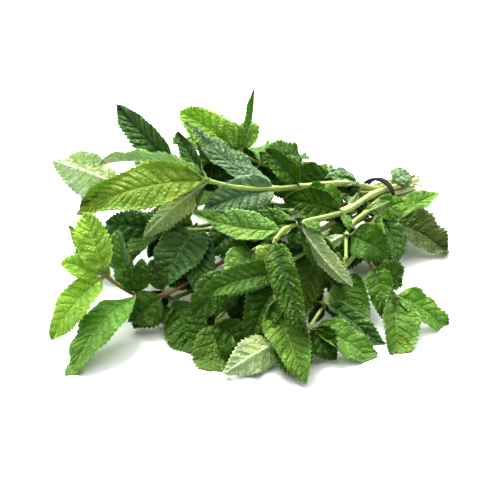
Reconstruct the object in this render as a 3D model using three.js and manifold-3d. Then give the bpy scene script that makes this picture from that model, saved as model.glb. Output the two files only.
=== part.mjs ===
// A bunch of fresh mint: leafy sprigs held by a dark elastic band wound twice, lying on its side.
// Units are millimetres and +Z is up. The bunch rests on z = 0, and the origin is moved at the end
// to the middle of the footprint. Each sprig (stem and leaves) is one solid, and so is the band.
import * as THREE from "three";
import { mergeVertices } from "three/addons/utils/BufferGeometryUtils.js";
import Module from "manifold-3d";

// ---------- driving dimensions ----------

const BLADE = 0.7; // thickness of a leaf blade
const RIB = 1.5; // thickness where the midrib leaves the stem
const STALK = 3.5; // length of a leaf's stalk
const STALK_HALF = 0.9; // half its width
const CLEAR = 0.4; // space kept between a leaf and any other sprig
const TOOTH_OUT = 0.1; // how far a tooth stands out, as a share of the half width
const TOOTH_LEAN = 0.66; // where a tooth's point lies between its two notches
const TOOTH_MIDDLE = 0.5; // where between them the outline is taken for its point
const FEWEST_TEETH = 3; // on each side of a short leaf
const MORE_TEETH = [36, 60]; // a leaf longer than each of these has one more tooth a side
const BASE_ROUND = 0.55; // how full a blade is at its base
const TIP_SHARP = 0.85; // how fast it narrows to its tip
const CURL = -0.1; // how much an edge rolls under, as a share of the half width
const FOLD = 0.3; // usual angle of each half blade above flat, in radians
const FOLD_VARY = [0.6, 1.4]; // chance makes it this many times as much
const TWIST = 0.25; // most that a leaf turns about its midrib over its length, in radians
const TWIST_FROM = 0.3; // share of the length where that turn is nil
const WAVE = 1.2; // most that an edge waves up and down
const WAVE_TURN = 9; // radians of that wave over the length
const SEED = 41;
const MERGE = 1e-4; // points nearer than this are one

const BAND_AT = new THREE.Vector3(91, 94, 25); // middle of the band
const BUNDLE = new THREE.Vector3(-0.66, -0.72, 0.2).normalize(); // way the stems run through it
const ACROSS = new THREE.Vector3(0, 0, 1).cross(BUNDLE).negate().normalize(); // level, to the left
const ABOVE = ACROSS.clone().cross(BUNDLE).normalize();
const SLOT = 4.6; // distance between neighbouring stems in the band
const ROW = 0.866 * SLOT; // distance between rows of them, as in a stack of rods
const BAND_RADIUS = 13.5; // from the bundle's middle to the middle of the strand
const STRAND_HALF = 1.1; // half the strand's thickness
const STRAND_SIDES = 6;
const BAND_SPREAD = 3.4; // the two turns lie this far to each side of the middle
const BAND_LIFT = 0.4; // the outer turn rides this much over the inner one
const BAND_OVERLAP = 0.03; // angle by which each turn runs into the next
const TURN_STEPS = 24; // straight pieces in one turn of the band
const STEM_STEPS = 2; // straight pieces of a stem for each point of its route
const CUT_END = 44; // longest stem behind the band
const CUT_VARY = 10; // some are shorter by up to this much
const BEFORE_BAND = 8; // the stems run straight from here
const AFTER_BAND = 6; // to here
const BACK_LEAF = 12; // a leaf behind the band grows this far from its middle

// Ways a leaf's upper side can face.
const UP = [0, -2, 9];
const FRONT = [0, -6, 6];
const UNDER = [0, 6, -7]; // the pale underside shows
const LEFT = [-5, -6, 5];
const RIGHT = [4, -6, 5];
const REAR = [0, 5, 7];

const BACK = -1; // stands for a stem point behind the band

const LEAF_GREEN = 0x3f7d2c;
const BAND_BLACK = 0x1c1d20;

// ---------- the sprigs ----------

// slot: place in the band (across, above). path: the stem after the band. leaves: stem point that
// the leaf grows from, tip, width, facing, bow (the arch's height towards the upper side), and the
// fold in radians where it isn't the usual one.
// pairs: the stem points that also carry a pair of leaves by rule.
const SPRIGS = [
  {
    name: "sprig_top",
    slot: [0, 2],
    thick: 3.8,
    path: [[77, 86, 39], [66, 80, 44], [33, 53, 56], [17, 39, 62], [-6, 29, 68], [-26, 27, 74]],
    leaves: [
      [5, [-109, 22, 53], 31, [0, -5, 7], 13, 0.2],
      [5, [-98, 50, 75], 22, [0, 4, 8], 6, 0.9],
      [5, [-67, 10, 43], 18, UNDER, -4],
      [5, [-61, 26, 38], 22, FRONT, 3],
      [3, [-41, 60, 99], 24, [0, -1, 9], -6, 0.25],
      [3, [-29, 18, 59], 26, FRONT, 3],
      [5, [-46, 62, 91], 14, LEFT, 2, 0.6],
      [2, [11, 68, 76], 20, [-3, -4, 7], 3, 0.7],
      [0, [50, 88, 42], 18, [0, -1, 9], 3, 0.2],
      [BACK, [115, 110, 34], 20, [1, -3, 9], 3, 0.2],
    ],
    pairs: [],
  },
  {
    name: "sprig_lime",
    slot: [1, 2],
    thick: 2.6,
    path: [[60, 92, 42], [27, 80, 54], [8, 66, 66], [-6, 64, 75], [-16, 68, 79], [-31, 76, 84]],
    leaves: [
      [3, [-47, 87, 95], 27, FRONT, 3],
      [4, [-19, 84, 93], 14, FRONT, 2],
      [3, [1, 88, 88], 17, FRONT, 2],
      [3, [6, 94, 105], 9, LEFT, -4, 0.9],
      [3, [-13, 80, 89], 14, FRONT, 2, 0.5],
      [2, [34, 92, 61], 22, FRONT, 4],
      [1, [33, 112, 46], 24, REAR, 4],
      [2, [-1, 112, 54], 24, REAR, 4],
      [0, [14, 66, 44], 27, FRONT, 3],
      [1, [-4, 62, 56], 22, FRONT, 3],
      [2, [-29, 68, 61], 24, FRONT, 3],
    ],
    pairs: [],
  },
  {
    name: "sprig_middle",
    slot: [-1, 2],
    thick: 3.8,
    path: [[84, 78, 36], [60, 40, 44], [31, 9, 54], [21, 1, 54], [15, -5, 50]],
    leaves: [
      [1, [20, 44, 48], 23, FRONT, 3],
      [1, [41, 54, 56], 18, FRONT, 3, 0.45],
      [2, [-13, 26, 47], 22, FRONT, 4],
      [3, [-36, 6, 63], 24, [0, -4, 8], -7, 0.5],
      [4, [10, -14, 37], 19, FRONT, 4],
      [4, [19, -14, 39], 8, FRONT, 1],
      [4, [33, -66, 21], 21, [-1, -7, 3], 6, 0.6],
      [2, [63, -16, 23], 15, [5, 6, -3], -5],
      [2, [55, -12, 17], 18, FRONT, 4],
      [2, [43, 0, 52], 10, [3, -2, 8], 2, 0.5],
      [1, [64, 22, 41], 7, FRONT, 1],
    ],
    pairs: [],
  },
  {
    name: "sprig_right_middle",
    slot: [-1.5, 1],
    thick: 3.2,
    path: [[77, 56, 34], [67, 38, 37], [62, 22, 38], [60, 2, 32]],
    leaves: [
      [2, [88, 10, 29], 26, FRONT, 5],
      [3, [42, -6, 29], 18, FRONT, 4],
      [2, [43, 12, 32], 9, UNDER, -3],
      [1, [51, 16, 25], 18, FRONT, 3],
    ],
    pairs: [],
  },
  {
    name: "sprig_right",
    slot: [-2, 0],
    thick: 2.8,
    path: [[88, 70, 26], [78, 38, 27], [77, 4, 25], [83, -9, 19], [88, -13, 16]],
    leaves: [
      [0, [89, 24, 14], 17, [-4, -6, 4], 5, 0.6],
      [0, [100, 40, 5], 22, RIGHT, 3],
      [0, [104, 62, 40], 17, FRONT, 3],
      [2, [97, 4, 12], 20, RIGHT, 3],
      [2, [85, -28, 5], 20, FRONT, 4, 0.5],
      [4, [84, -51, -13], 28, [3, -6, 5], 5, 0.45],
      [4, [123, -25, -6], 22, UP, 5],
      [4, [99, -40, -2], 9, FRONT, 2],
    ],
    pairs: [],
  },
  {
    name: "sprig_band",
    slot: [-1, -2],
    thick: 2.8,
    path: [[99, 77, 15], [99, 62, 15]],
    leaves: [
      [0, [137, 62, -1], 36, [2, -5, 7], 5],
      [0, [133, 108, 23], 18, UP, 3],
    ],
    pairs: [],
  },
  {
    name: "sprig_left",
    slot: [1, 0],
    thick: 2.4,
    path: [
      [55, 78, 24],
      [10, 40, 24],
      [-28, 0, 24],
      [-52, -22, 22],
      [-68, -21, 20],
      [-83, -23, 32],
      [-87, -24, 37],
    ],
    leaves: [
      [6, [-101, 4, 65], 22, FRONT, 4, 0.35],
      [5, [-113, 10, 52], 12, FRONT, 2],
      [6, [-115, -17, 43], 15, FRONT, 2],
      [4, [-106, -73, -9], 27, [-5, -5, 7], 11],
      [6, [-118, -42, 1], 26, LEFT, 4],
      [4, [-84, 18, 44], 18, LEFT, 3, 0.45],
      [3, [-73, -30, 7], 22, FRONT, 2],
    ],
    pairs: [1, 2],
  },
  {
    name: "sprig_centre_left",
    slot: [0.5, 1],
    thick: 3.4,
    path: [[62, 76, 36], [28, 46, 41], [-5, 42, 32], [-35, 27, 38], [-55, 40, 30]],
    leaves: [
      [3, [-57, -16, 24], 33, [-3, -8, 5], 6, 0.2],
      [4, [-95, 36, 39], 22, LEFT, 4],
      [2, [-28, 12, 28], 24, FRONT, 4],
      [4, [-74, 4, 24], 22, LEFT, 4],
      [3, [-39, -24, 19], 22, FRONT, 4],
    ],
    pairs: [2],
  },
  {
    name: "sprig_back_left",
    slot: [1.5, 1],
    thick: 3,
    path: [[54, 94, 38], [12, 84, 52], [-25, 72, 64], [-48, 58, 70], [-61, 54, 69], [-85, 50, 57]],
    leaves: [
      [3, [-87, 88, 98], 24, LEFT, 4, 0.6],
      [5, [-126, 48, 77], 31, UNDER, -4, 0.2],
      [2, [-54, 112, 60], 24, REAR, 4],
      [1, [-15, 120, 45], 26, REAR, 4],
      [3, [-80, 96, 51], 26, REAR, 5],
      [0, [27, 124, 35], 26, REAR, 5],
      [5, [-111, 38, 45], 20, FRONT, 3],
      [1, [-33, 58, 52], 26, FRONT, 4],
      [2, [-59, 46, 45], 24, FRONT, 4],
    ],
    pairs: [],
  },
  {
    name: "sprig_front_left",
    slot: [-0.5, -1],
    thick: 3,
    path: [[60, 60, 20], [22, 16, 20], [-8, -20, 18], [-20, -38, 14]],
    leaves: [
      [3, [-23, -68, -14], 26, FRONT, 4],
      [3, [0, -58, -3], 22, FRONT, 3],
    ],
    pairs: [1, 2],
  },
  {
    name: "sprig_under",
    slot: [0.5, -1],
    thick: 3,
    path: [[55, 72, 15], [12, 36, 13], [-26, 4, 12], [-46, -14, 14]],
    leaves: [
      [3, [-30, -56, -12], 27, FRONT, 4],
      [3, [-72, -32, 6], 22, LEFT, 3],
    ],
    pairs: [2],
  },
  {
    name: "sprig_centre",
    slot: [-0.5, 1],
    thick: 3,
    path: [[68, 62, 36], [38, 28, 42], [2, 2, 38], [-5, -18, 34]],
    leaves: [
      [2, [-12, -28, 31], 25, FRONT, 3, 0.35],
      [2, [-17, -8, 41], 17, FRONT, 3],
      [3, [-36, -36, 15], 26, FRONT, 5],
      [3, [-11, -34, 6], 24, FRONT, 4],
    ],
    pairs: [],
  },
  {
    name: "sprig_front",
    slot: [-1, 0],
    thick: 3,
    path: [[76, 60, 28], [44, 18, 33], [18, -14, 33], [14, -34, 25], [22, -52, 12]],
    leaves: [
      [2, [-2, -56, 5], 27, FRONT, 5],
      [1, [39, -26, 11], 22, FRONT, 3],
      [2, [-31, -40, 31], 20, [0, -5, 7], 4],
      [4, [30, -76, 1], 25, FRONT, 4],
      [3, [32, -80, -2], 27, FRONT, 3],
      [4, [-15, -76, 4], 23, UNDER, -3],
    ],
    pairs: [1],
  },
  {
    name: "sprig_front_right",
    slot: [-1.5, -1],
    thick: 2.8,
    path: [[82, 54, 20], [60, 16, 14], [47, -16, 12], [36, -44, 14]],
    leaves: [
      [3, [75, -55, -8], 24, UP, 5],
      [2, [81, -47, 1], 16, [-2, -4, 7], 3],
      [1, [61, -44, 3], 24, FRONT, 3],
      [3, [54, -58, 2], 20, FRONT, 2],
      [0, [60, 30, 6], 22, FRONT, 3],
      [0, [98, 20, 0], 20, RIGHT, 3],
    ],
    pairs: [1],
  },
  {
    name: "sprig_back",
    slot: [2, 0],
    thick: 3,
    path: [[52, 98, 30], [15, 96, 38], [-25, 90, 44], [-58, 76, 44]],
    leaves: [
      [3, [-112, 96, 18], 28, REAR, 5],
      [3, [-84, 124, 24], 28, REAR, 5],
    ],
    pairs: [1, 2],
  },
  {
    name: "sprig_back_low",
    slot: [1.5, -1],
    thick: 3,
    path: [[52, 92, 19], [8, 80, 20], [-36, 58, 22], [-70, 42, 24]],
    leaves: [
      [3, [-118, 44, 4], 26, LEFT, 5],
      [3, [-108, 70, -14], 26, LEFT, 4],
    ],
    pairs: [1, 2],
  },
  {
    name: "sprig_back_right",
    slot: [1, -2],
    thick: 3,
    path: [[62, 100, 10], [36, 104, 12], [6, 104, 16]],
    leaves: [
      [2, [-46, 118, 2], 28, REAR, 4],
      [2, [-16, 140, -14], 26, REAR, 4],
      [1, [40, 146, -3], 26, REAR, 4],
    ],
    pairs: [1],
  },
];

// Rule for a pair of leaves: opposite each other, each pair turned from the last.
const PAIR_LONG = 46; // mean length
const PAIR_VARY = 12; // spread of the lengths
const PAIR_WIDE = 0.5; // width as a share of the length
const PAIR_SPREAD = 1.1; // angle between leaf and stem, in radians
const PAIR_SPREAD_VARY = 0.3;
const PAIR_TURN = 0.6; // most that a pair is turned by chance, in radians
const PAIR_LEAN = 0.7; // how far its upper sides turn from the stem's tip towards the sky
const PAIR_BOW = 0.1; // arch as a share of the length
const PAIR_LOWEST = 3; // a tip by rule is no lower than this

// Swings tried, smallest first, to bring a leaf clear of the other sprigs.
const SWING_STEPS = [0, 5, -5, 10, -10, 16, -16, 24, -24, 34, -34];
const SHRINK_STEPS = [1, 0.88, 0.76];
const SINK = 14; // a swung tip aims no further below the surface; what is below lies flat on it
const SHRINK_COST = 100; // a shortened leaf counts as swung by this many degrees times its loss
const BLADE_FROM = 0.3; // blades of one sprig may meet nearer to the stem than this share

// ---------- helpers ----------

const wasm = await Module();
wasm.setup();

// Seeded random numbers between 0 and 1.
function randomFrom(seed) {
  let state = seed;
  return () => {
    state = (state * 1103515245 + 12345) % 2147483648;
    return state / 2147483648;
  };
}

function between(random, low, high) {
  return low + (high - low) * random();
}

function vec(xyz) {
  return new THREE.Vector3(...xyz);
}

function solidOf(positions, index) {
  return new wasm.Manifold(
    new wasm.Mesh({
      numProp: 3,
      vertProperties: new Float32Array(positions),
      triVerts: new Uint32Array(index),
    }),
  );
}

function solidOfGeometry(geometry) {
  geometry.deleteAttribute("normal");
  geometry.deleteAttribute("uv");
  const merged = mergeVertices(geometry, MERGE);
  return solidOf(merged.attributes.position.array, merged.index.array);
}

// Both faces and the rim of a sheet: the points moved half a thickness each way.
function thicken(points, normals, halves, faces) {
  const count = points.length;
  const positions = [];
  for (const side of [1, -1]) {
    points.forEach((p, i) => {
      const q = p.clone().addScaledVector(normals[i], side * halves[i]);
      positions.push(q.x, q.y, Math.max(q.z, 0));
    });
  }
  const index = [];
  const edges = new Set();
  for (const [a, b, c] of faces) {
    index.push(a, b, c, count + a, count + c, count + b);
    for (const [p, q] of [[a, b], [b, c], [c, a]]) edges.add(p * count + q);
  }
  for (const edge of edges) {
    const a = Math.floor(edge / count);
    const b = edge % count;
    if (edges.has(b * count + a)) continue;
    index.push(b, a, count + a, b, count + a, count + b);
  }
  return solidOf(positions, index);
}

// ---------- a leaf ----------

// How full the outline is at a share of the way along the blade: rounded base, then a point.
function fullness(share) {
  return share ** BASE_ROUND * (1 - share) ** TIP_SHARP;
}

const FULLEST = fullness(BASE_ROUND / (BASE_ROUND + TIP_SHARP));

function halfWidth(share, wide) {
  return ((wide / 2) * fullness(share)) / FULLEST;
}

// The leaf's own directions, worked out from its base, tip and facing.
function leafFrame(leaf) {
  const chord = leaf.tip.clone().sub(leaf.base);
  const along = chord.clone().normalize();
  const face = leaf.face.clone().addScaledVector(along, -leaf.face.dot(along)).normalize();
  return { chord, along, face, side: along.clone().cross(face) };
}

// Point and normal of the blade at s along it (0 to 1) and x to its side, in mm.
function bladePoint(leaf, frame, s, x) {
  const point = leaf.base
    .clone()
    .addScaledVector(frame.chord, s)
    .addScaledVector(frame.face, 4 * leaf.bow * s * (1 - s));
  const forward = frame.chord
    .clone()
    .addScaledVector(frame.face, 4 * leaf.bow * (1 - 2 * s))
    .normalize();
  const across = frame.side.clone().applyAxisAngle(forward, leaf.twist * (s - TWIST_FROM));
  const up = across.clone().cross(forward);
  const lean = x < 0 ? -leaf.fold : leaf.fold;
  const out = Math.abs(x);
  point.addScaledVector(across, x * Math.cos(leaf.fold));
  point.addScaledVector(up, out * Math.sin(leaf.fold));
  point.addScaledVector(up, (CURL * out * out * 2) / leaf.wide);
  const wave = leaf.wave * ((out * 2) / leaf.wide) ** 2 * Math.sin(WAVE_TURN * s + x);
  point.addScaledVector(up, wave);
  const normal = up.multiplyScalar(Math.cos(lean)).addScaledVector(across, -Math.sin(lean));
  if (point.z < BLADE / 2) {
    point.z = BLADE / 2;
    normal.set(0, 0, normal.z < 0 ? -1 : 1);
  }
  return { point, normal };
}

// The toothed blade with its stalk, one closed solid. Extra thickens and widens it for the
// clearance test, and start leaves out the part near the stem.
function leafSolid(leaf, extra = 0, start = 0) {
  const frame = leafFrame(leaf);
  const long = frame.chord.length();
  const teeth = FEWEST_TEETH + MORE_TEETH.filter((limit) => long > limit).length;
  const stalk = Math.max(STALK / long, start);
  const points = [];
  const normals = [];
  const halves = [];
  const put = (s, x) => {
    const { point, normal } = bladePoint(leaf, frame, s, x);
    points.push(point);
    normals.push(normal);
    const rib = x === 0 ? (RIB - BLADE) * (1 - s) : 0;
    halves.push((BLADE + rib) / 2 + extra);
    return points.length - 1;
  };
  const width = (s) => Math.max(STALK_HALF, halfWidth((s - stalk) / (1 - stalk), leaf.wide)) + extra;
  const faces = [];
  const middle = [];
  for (let i = 0; i <= teeth; i += 1) middle.push(put(stalk + ((1 - stalk) * i) / teeth, 0));
  const root = start > 0 ? null : put(0, 0);
  for (const side of [1, -1]) {
    const add = (a, b, c) => faces.push(side > 0 ? [a, b, c] : [a, c, b]);
    let notch = put(stalk, side * (STALK_HALF + extra));
    if (root !== null) add(root, notch, middle[0]);
    for (let i = 0; i < teeth; i += 1) {
      const step = (1 - stalk) / teeth;
      const from = stalk + i * step;
      const point = from + TOOTH_LEAN * step;
      const tooth = put(point, side * width(from + TOOTH_MIDDLE * step) * (1 + TOOTH_OUT));
      add(middle[i], notch, tooth);
      add(middle[i], tooth, middle[i + 1]);
      if (i < teeth - 1) {
        const next = put(from + step, side * width(from + step));
        add(middle[i + 1], tooth, next);
        notch = next;
      }
    }
  }
  return thicken(points, normals, halves, faces);
}

function makeLeaf(base, tip, wide, face, bow, random, fold = null) {
  const chanceFold = FOLD * between(random, ...FOLD_VARY);
  const twist = between(random, -TWIST, TWIST);
  const wave = WAVE * random();
  return { base, tip, wide, face: vec(face), bow, fold: fold ?? chanceFold, twist, wave };
}

// The leaf turned about its base by two angles in degrees, and shortened.
function swung(leaf, yaw, pitch, size) {
  const frame = leafFrame(leaf);
  const turn = (v) =>
    v
      .clone()
      .applyAxisAngle(frame.face, THREE.MathUtils.degToRad(yaw))
      .applyAxisAngle(frame.side, THREE.MathUtils.degToRad(pitch));
  const tip = leaf.base.clone().add(turn(frame.chord).multiplyScalar(size));
  tip.z = Math.max(tip.z, -SINK);
  return { ...leaf, tip, face: turn(leaf.face), wide: leaf.wide * size };
}

// ---------- stems, band ----------

function slotPoint(slot, ahead) {
  return BAND_AT.clone()
    .addScaledVector(ACROSS, slot[0] * SLOT)
    .addScaledVector(ABOVE, slot[1] * ROW)
    .addScaledVector(BUNDLE, ahead);
}

// Place on the stem of a leaf or a pair.
function stemPoint(sprig, at) {
  return at === BACK ? slotPoint(sprig.slot, -BACK_LEAF) : vec(sprig.path[at]);
}

function stemSolid(sprig, extra = 0) {
  const half = sprig.thick / 2 + extra;
  const section = new THREE.Shape([
    new THREE.Vector2(-half, -half),
    new THREE.Vector2(half, -half),
    new THREE.Vector2(half, half),
    new THREE.Vector2(-half, half),
  ]);
  const route = [
    slotPoint(sprig.slot, -CUT_END - extra + sprig.cut),
    slotPoint(sprig.slot, -BEFORE_BAND),
    slotPoint(sprig.slot, AFTER_BAND),
    ...sprig.path.map(vec),
  ];
  const curve = new THREE.CatmullRomCurve3(route, false, "centripetal");
  const settings = { steps: STEM_STEPS * route.length, bevelEnabled: false, extrudePath: curve };
  return solidOfGeometry(new THREE.ExtrudeGeometry(section, settings));
}

// One turn of the band: it starts on one side of the middle and ends on the other.
class BandTurn extends THREE.Curve {
  constructor(start) {
    super();
    this.start = start;
  }
  getPoint(t, target = new THREE.Vector3()) {
    const angle = this.start - BAND_OVERLAP + t * (2 * Math.PI + 2 * BAND_OVERLAP);
    const radius = BAND_RADIUS + BAND_LIFT * Math.sin(angle / 2);
    return target
      .copy(BAND_AT)
      .addScaledVector(ACROSS, radius * Math.cos(angle))
      .addScaledVector(ABOVE, radius * Math.sin(angle))
      .addScaledVector(BUNDLE, BAND_SPREAD * Math.cos(angle / 2));
  }
}

function bandSolid() {
  const section = new THREE.Shape();
  for (let i = 0; i < STRAND_SIDES; i += 1) {
    const angle = (2 * Math.PI * i) / STRAND_SIDES;
    const corner = [STRAND_HALF * Math.cos(angle), STRAND_HALF * Math.sin(angle)];
    if (i === 0) section.moveTo(...corner);
    else section.lineTo(...corner);
  }
  const turn = (start) => {
    const extrudePath = new BandTurn(start);
    const settings = { steps: TURN_STEPS, bevelEnabled: false, extrudePath };
    return solidOfGeometry(new THREE.ExtrudeGeometry(section, settings));
  };
  return turn(0).add(turn(2 * Math.PI));
}

// ---------- placing the leaves ----------

function boxOf(solid) {
  return new THREE.Box3().setFromArray(solid.getMesh().vertProperties);
}

const placed = []; // every solid so far, with its sprig's name and its box

function place(owner, solid, blade = null) {
  placed.push({ owner, solid, box: boxOf(solid), blade });
}

function meets(a, b) {
  return a.intersect(b).getMesh().triVerts.length > 0;
}

// True if the leaf is clear of the other sprigs, and its blade of its own sprig's blades.
function isClear(owner, leaf) {
  const whole = leafSolid(leaf, CLEAR);
  const blade = leafSolid(leaf, 0, BLADE_FROM);
  const box = boxOf(whole);
  return !placed.some((other) => {
    if (!box.intersectsBox(other.box)) return false;
    if (other.owner !== owner) return meets(whole, other.solid);
    return other.blade !== null && meets(blade, other.blade);
  });
}

const SWINGS = [];
for (const size of SHRINK_STEPS) {
  for (const yaw of SWING_STEPS) {
    for (const pitch of SWING_STEPS) SWINGS.push([yaw, pitch, size]);
  }
}
const effort = ([yaw, pitch, size]) => Math.hypot(yaw, pitch) + SHRINK_COST * (1 - size);
SWINGS.sort((a, b) => effort(a) - effort(b));

// Places the leaf with the smallest swing that is clear, or leaves it out.
function placeLeaf(owner, leaf) {
  for (const [yaw, pitch, size] of SWINGS) {
    const turned = swung(leaf, yaw, pitch, size);
    if (!isClear(owner, turned)) continue;
    place(owner, leafSolid(turned), leafSolid(turned, 0, BLADE_FROM));
    return;
  }
}

// A pair of opposite leaves at a stem point, by rule.
function pairAt(sprig, at, random) {
  const base = stemPoint(sprig, at);
  const before = stemPoint(sprig, at - 1);
  const forward = base.clone().sub(before).normalize();
  const level = new THREE.Vector3(0, 0, 1).cross(forward).normalize();
  const around = (at * Math.PI) / 2 + PAIR_TURN * random();
  return [0, Math.PI].map((half) => {
    const long = PAIR_LONG + between(random, -PAIR_VARY, PAIR_VARY);
    const spread = PAIR_SPREAD + between(random, -PAIR_SPREAD_VARY, PAIR_SPREAD_VARY) / 2;
    const out = level.clone().applyAxisAngle(forward, around + half);
    const tip = base
      .clone()
      .addScaledVector(forward, long * Math.cos(spread))
      .addScaledVector(out, long * Math.sin(spread));
    tip.z = Math.max(tip.z, PAIR_LOWEST);
    const face = forward.clone().add(new THREE.Vector3(0, 0, PAIR_LEAN));
    return makeLeaf(base, tip, long * PAIR_WIDE, face.toArray(), PAIR_BOW * long, random);
  });
}

// The largest closed surface of a mesh: fills sealed hollows and drops loose scraps.
function mainBody(solid) {
  const mesh = solid.getMesh();
  const parent = Array.from({ length: mesh.numVert }, (_, i) => i);
  const rootOf = (i) => {
    let root = i;
    while (parent[root] !== root) root = parent[root];
    parent[i] = root;
    return root;
  };
  for (let i = 0; i < mesh.triVerts.length; i += 3) {
    const root = rootOf(mesh.triVerts[i]);
    parent[rootOf(mesh.triVerts[i + 1])] = root;
    parent[rootOf(mesh.triVerts[i + 2])] = root;
  }
  const sizes = new Map();
  for (const i of mesh.triVerts) sizes.set(rootOf(i), (sizes.get(rootOf(i)) ?? 0) + 1);
  const main = [...sizes].sort((a, b) => b[1] - a[1])[0][0];
  const geometry = new THREE.BufferGeometry();
  const kept = [];
  for (let i = 0; i < mesh.triVerts.length; i += 3) {
    if (rootOf(mesh.triVerts[i]) === main) kept.push(...mesh.triVerts.subarray(i, i + 3));
  }
  geometry.setAttribute("position", new THREE.BufferAttribute(mesh.vertProperties, 3));
  geometry.setIndex(kept);
  return geometry;
}

// ---------- the bunch ----------

const random = randomFrom(SEED);
for (const sprig of SPRIGS) {
  sprig.cut = CUT_VARY * random();
  place(sprig.name, stemSolid(sprig));
}
place("elastic_band", bandSolid());
for (const sprig of SPRIGS) {
  for (const [at, tip, wide, face, bow, fold] of sprig.leaves) {
    const leaf = makeLeaf(stemPoint(sprig, at), vec(tip), wide, face, bow, random, fold);
    placeLeaf(sprig.name, leaf);
  }
}
for (const sprig of SPRIGS) {
  for (const at of sprig.pairs) {
    for (const leaf of pairAt(sprig, at, random)) placeLeaf(sprig.name, leaf);
  }
}

const bunch = new THREE.Group();
const whole = new THREE.Box3();
for (const name of new Set(placed.map((piece) => piece.owner))) {
  const solids = placed.filter((piece) => piece.owner === name).map((piece) => piece.solid);
  const geometry = mainBody(solids.reduce((sum, solid) => sum.add(solid)));
  const isBand = name === "elastic_band";
  const material = new THREE.MeshStandardMaterial({
    color: isBand ? BAND_BLACK : LEAF_GREEN,
    roughness: isBand ? 0.7 : 0.55,
    metalness: 0,
  });
  const mesh = new THREE.Mesh(geometry, material);
  mesh.name = name;
  whole.expandByObject(mesh);
  bunch.add(mesh);
}
const middle = whole.getCenter(new THREE.Vector3());
bunch.position.set(-middle.x, -middle.y, -whole.min.z);

export default bunch;
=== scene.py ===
# %% [markdown]
# # A tied bunch of fresh mint
# Seventeen cut sprigs lie on a pale surface. A dark elastic band, wound twice, holds them near the
# cut ends. Each sprig is a square stem with toothed leaves. This script loads the packed solids as
# a fixed frame and replaces each of them with a finer piece that keeps its form: blades with veins,
# quilting and small teeth, square stems with hairs and swollen joints, and a woven band.

# %% load the frame
import itertools
import math
from dataclasses import dataclass, replace

import bpy
import numpy as np
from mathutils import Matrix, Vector, kdtree
from mathutils.bvhtree import BVHTree


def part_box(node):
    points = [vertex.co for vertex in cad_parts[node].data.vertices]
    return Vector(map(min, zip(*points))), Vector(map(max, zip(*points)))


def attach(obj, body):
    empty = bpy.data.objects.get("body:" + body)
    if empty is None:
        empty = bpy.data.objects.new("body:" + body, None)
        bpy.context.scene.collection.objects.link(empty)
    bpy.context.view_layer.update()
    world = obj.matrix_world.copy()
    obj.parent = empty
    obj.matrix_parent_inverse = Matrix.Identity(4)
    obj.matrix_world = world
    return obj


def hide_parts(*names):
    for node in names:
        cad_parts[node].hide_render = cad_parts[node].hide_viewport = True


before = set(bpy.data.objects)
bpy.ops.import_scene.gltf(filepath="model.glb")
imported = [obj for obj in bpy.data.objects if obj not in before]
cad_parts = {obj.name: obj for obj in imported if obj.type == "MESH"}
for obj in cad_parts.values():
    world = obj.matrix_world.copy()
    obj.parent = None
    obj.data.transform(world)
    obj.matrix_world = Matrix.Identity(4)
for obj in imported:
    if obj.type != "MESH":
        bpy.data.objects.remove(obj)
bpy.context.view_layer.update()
print("solids in the frame:", len(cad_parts))

# %% [markdown]
# ## Units, and where the bunch lies
# The sprigs are described in millimetres, measured from a point on the table under the middle of
# the leaves. The packed model is centred on its own box instead. The band's place is known in both,
# so the difference between the two gives the shift, and nothing has to be fitted by eye.

# %% units and shift
MM = 0.001
BAND_AT = np.array([91.0, 94.0, 25.0])
BAND_RADIUS = 13.5
BAND_SPREAD = 3.4
BAND_LIFT = 0.4
BAND_POINTS = 97


def unit(v):
    v = np.asarray(v, float)
    return v / np.linalg.norm(v, axis=-1, keepdims=True)


BUNDLE = unit([-0.66, -0.72, 0.2])
ACROSS = unit(-np.cross([0, 0, 1], BUNDLE))
ABOVE = np.cross(ACROSS, BUNDLE)


def band_point(angle):
    """Middle of the band's strand. It closes on itself after two turns."""
    angle = np.asarray(angle, float)[..., None]
    radius = BAND_RADIUS + BAND_LIFT * np.sin(angle / 2)
    ring = ACROSS * radius * np.cos(angle) + ABOVE * radius * np.sin(angle)
    return BAND_AT + ring + BUNDLE * BAND_SPREAD * np.cos(angle / 2)


def find_shift():
    turns = band_point(np.linspace(0, 4 * math.pi, BAND_POINTS))
    low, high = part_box("elastic_band")
    return np.array((low + high) / 2) / MM - (turns.min(axis=0) + turns.max(axis=0)) / 2


SHIFT = find_shift()
print("shift in mm:", SHIFT.round(2))

# %% [markdown]
# ## The camera
# The bunch is seen from a standing person's view of a table: about a third of the way down from
# level, from half a metre or so. A moderately long lens keeps the far leaves from shrinking. It
# could track an empty, but a direction worked out once needs no constraint.

# %% camera
CAMERA_TILT = math.radians(32)
CAMERA_AWAY = 600.0
AIM_HEIGHT = 40.0
LENS = 69.7
SENSOR = 36.0


def add_camera():
    aim = Vector((SHIFT + [0, 0, AIM_HEIGHT]) * MM)
    back = Vector((0, -math.cos(CAMERA_TILT), math.sin(CAMERA_TILT)))
    data = bpy.data.cameras.new("camera")
    data.lens = LENS
    data.sensor_width = SENSOR
    camera = bpy.data.objects.new("camera", data)
    camera.location = aim + back * CAMERA_AWAY * MM
    camera.rotation_mode = "QUATERNION"
    camera.rotation_quaternion = (-back).to_track_quat("-Z", "Y")
    bpy.context.scene.collection.objects.link(camera)
    bpy.context.scene.camera = camera
    return camera


camera = add_camera()
print("camera at", [round(v, 3) for v in camera.location])

# %% [markdown]
# ## The stems in the band
# The stems run side by side through the band, in rows like pencils in a fist. A slot gives a stem's
# place there, counted in stem widths across and above the middle. The directions come from the way
# the bundle points, so turning the bundle would turn every slot with it.

# %% slots
SLOT = 4.6
ROW = 0.866 * SLOT
CUT_END = 44.0
BEFORE_BAND = 8.0
AFTER_BAND = 6.0
BACK_LEAF = 12.0
BACK = -1


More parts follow.
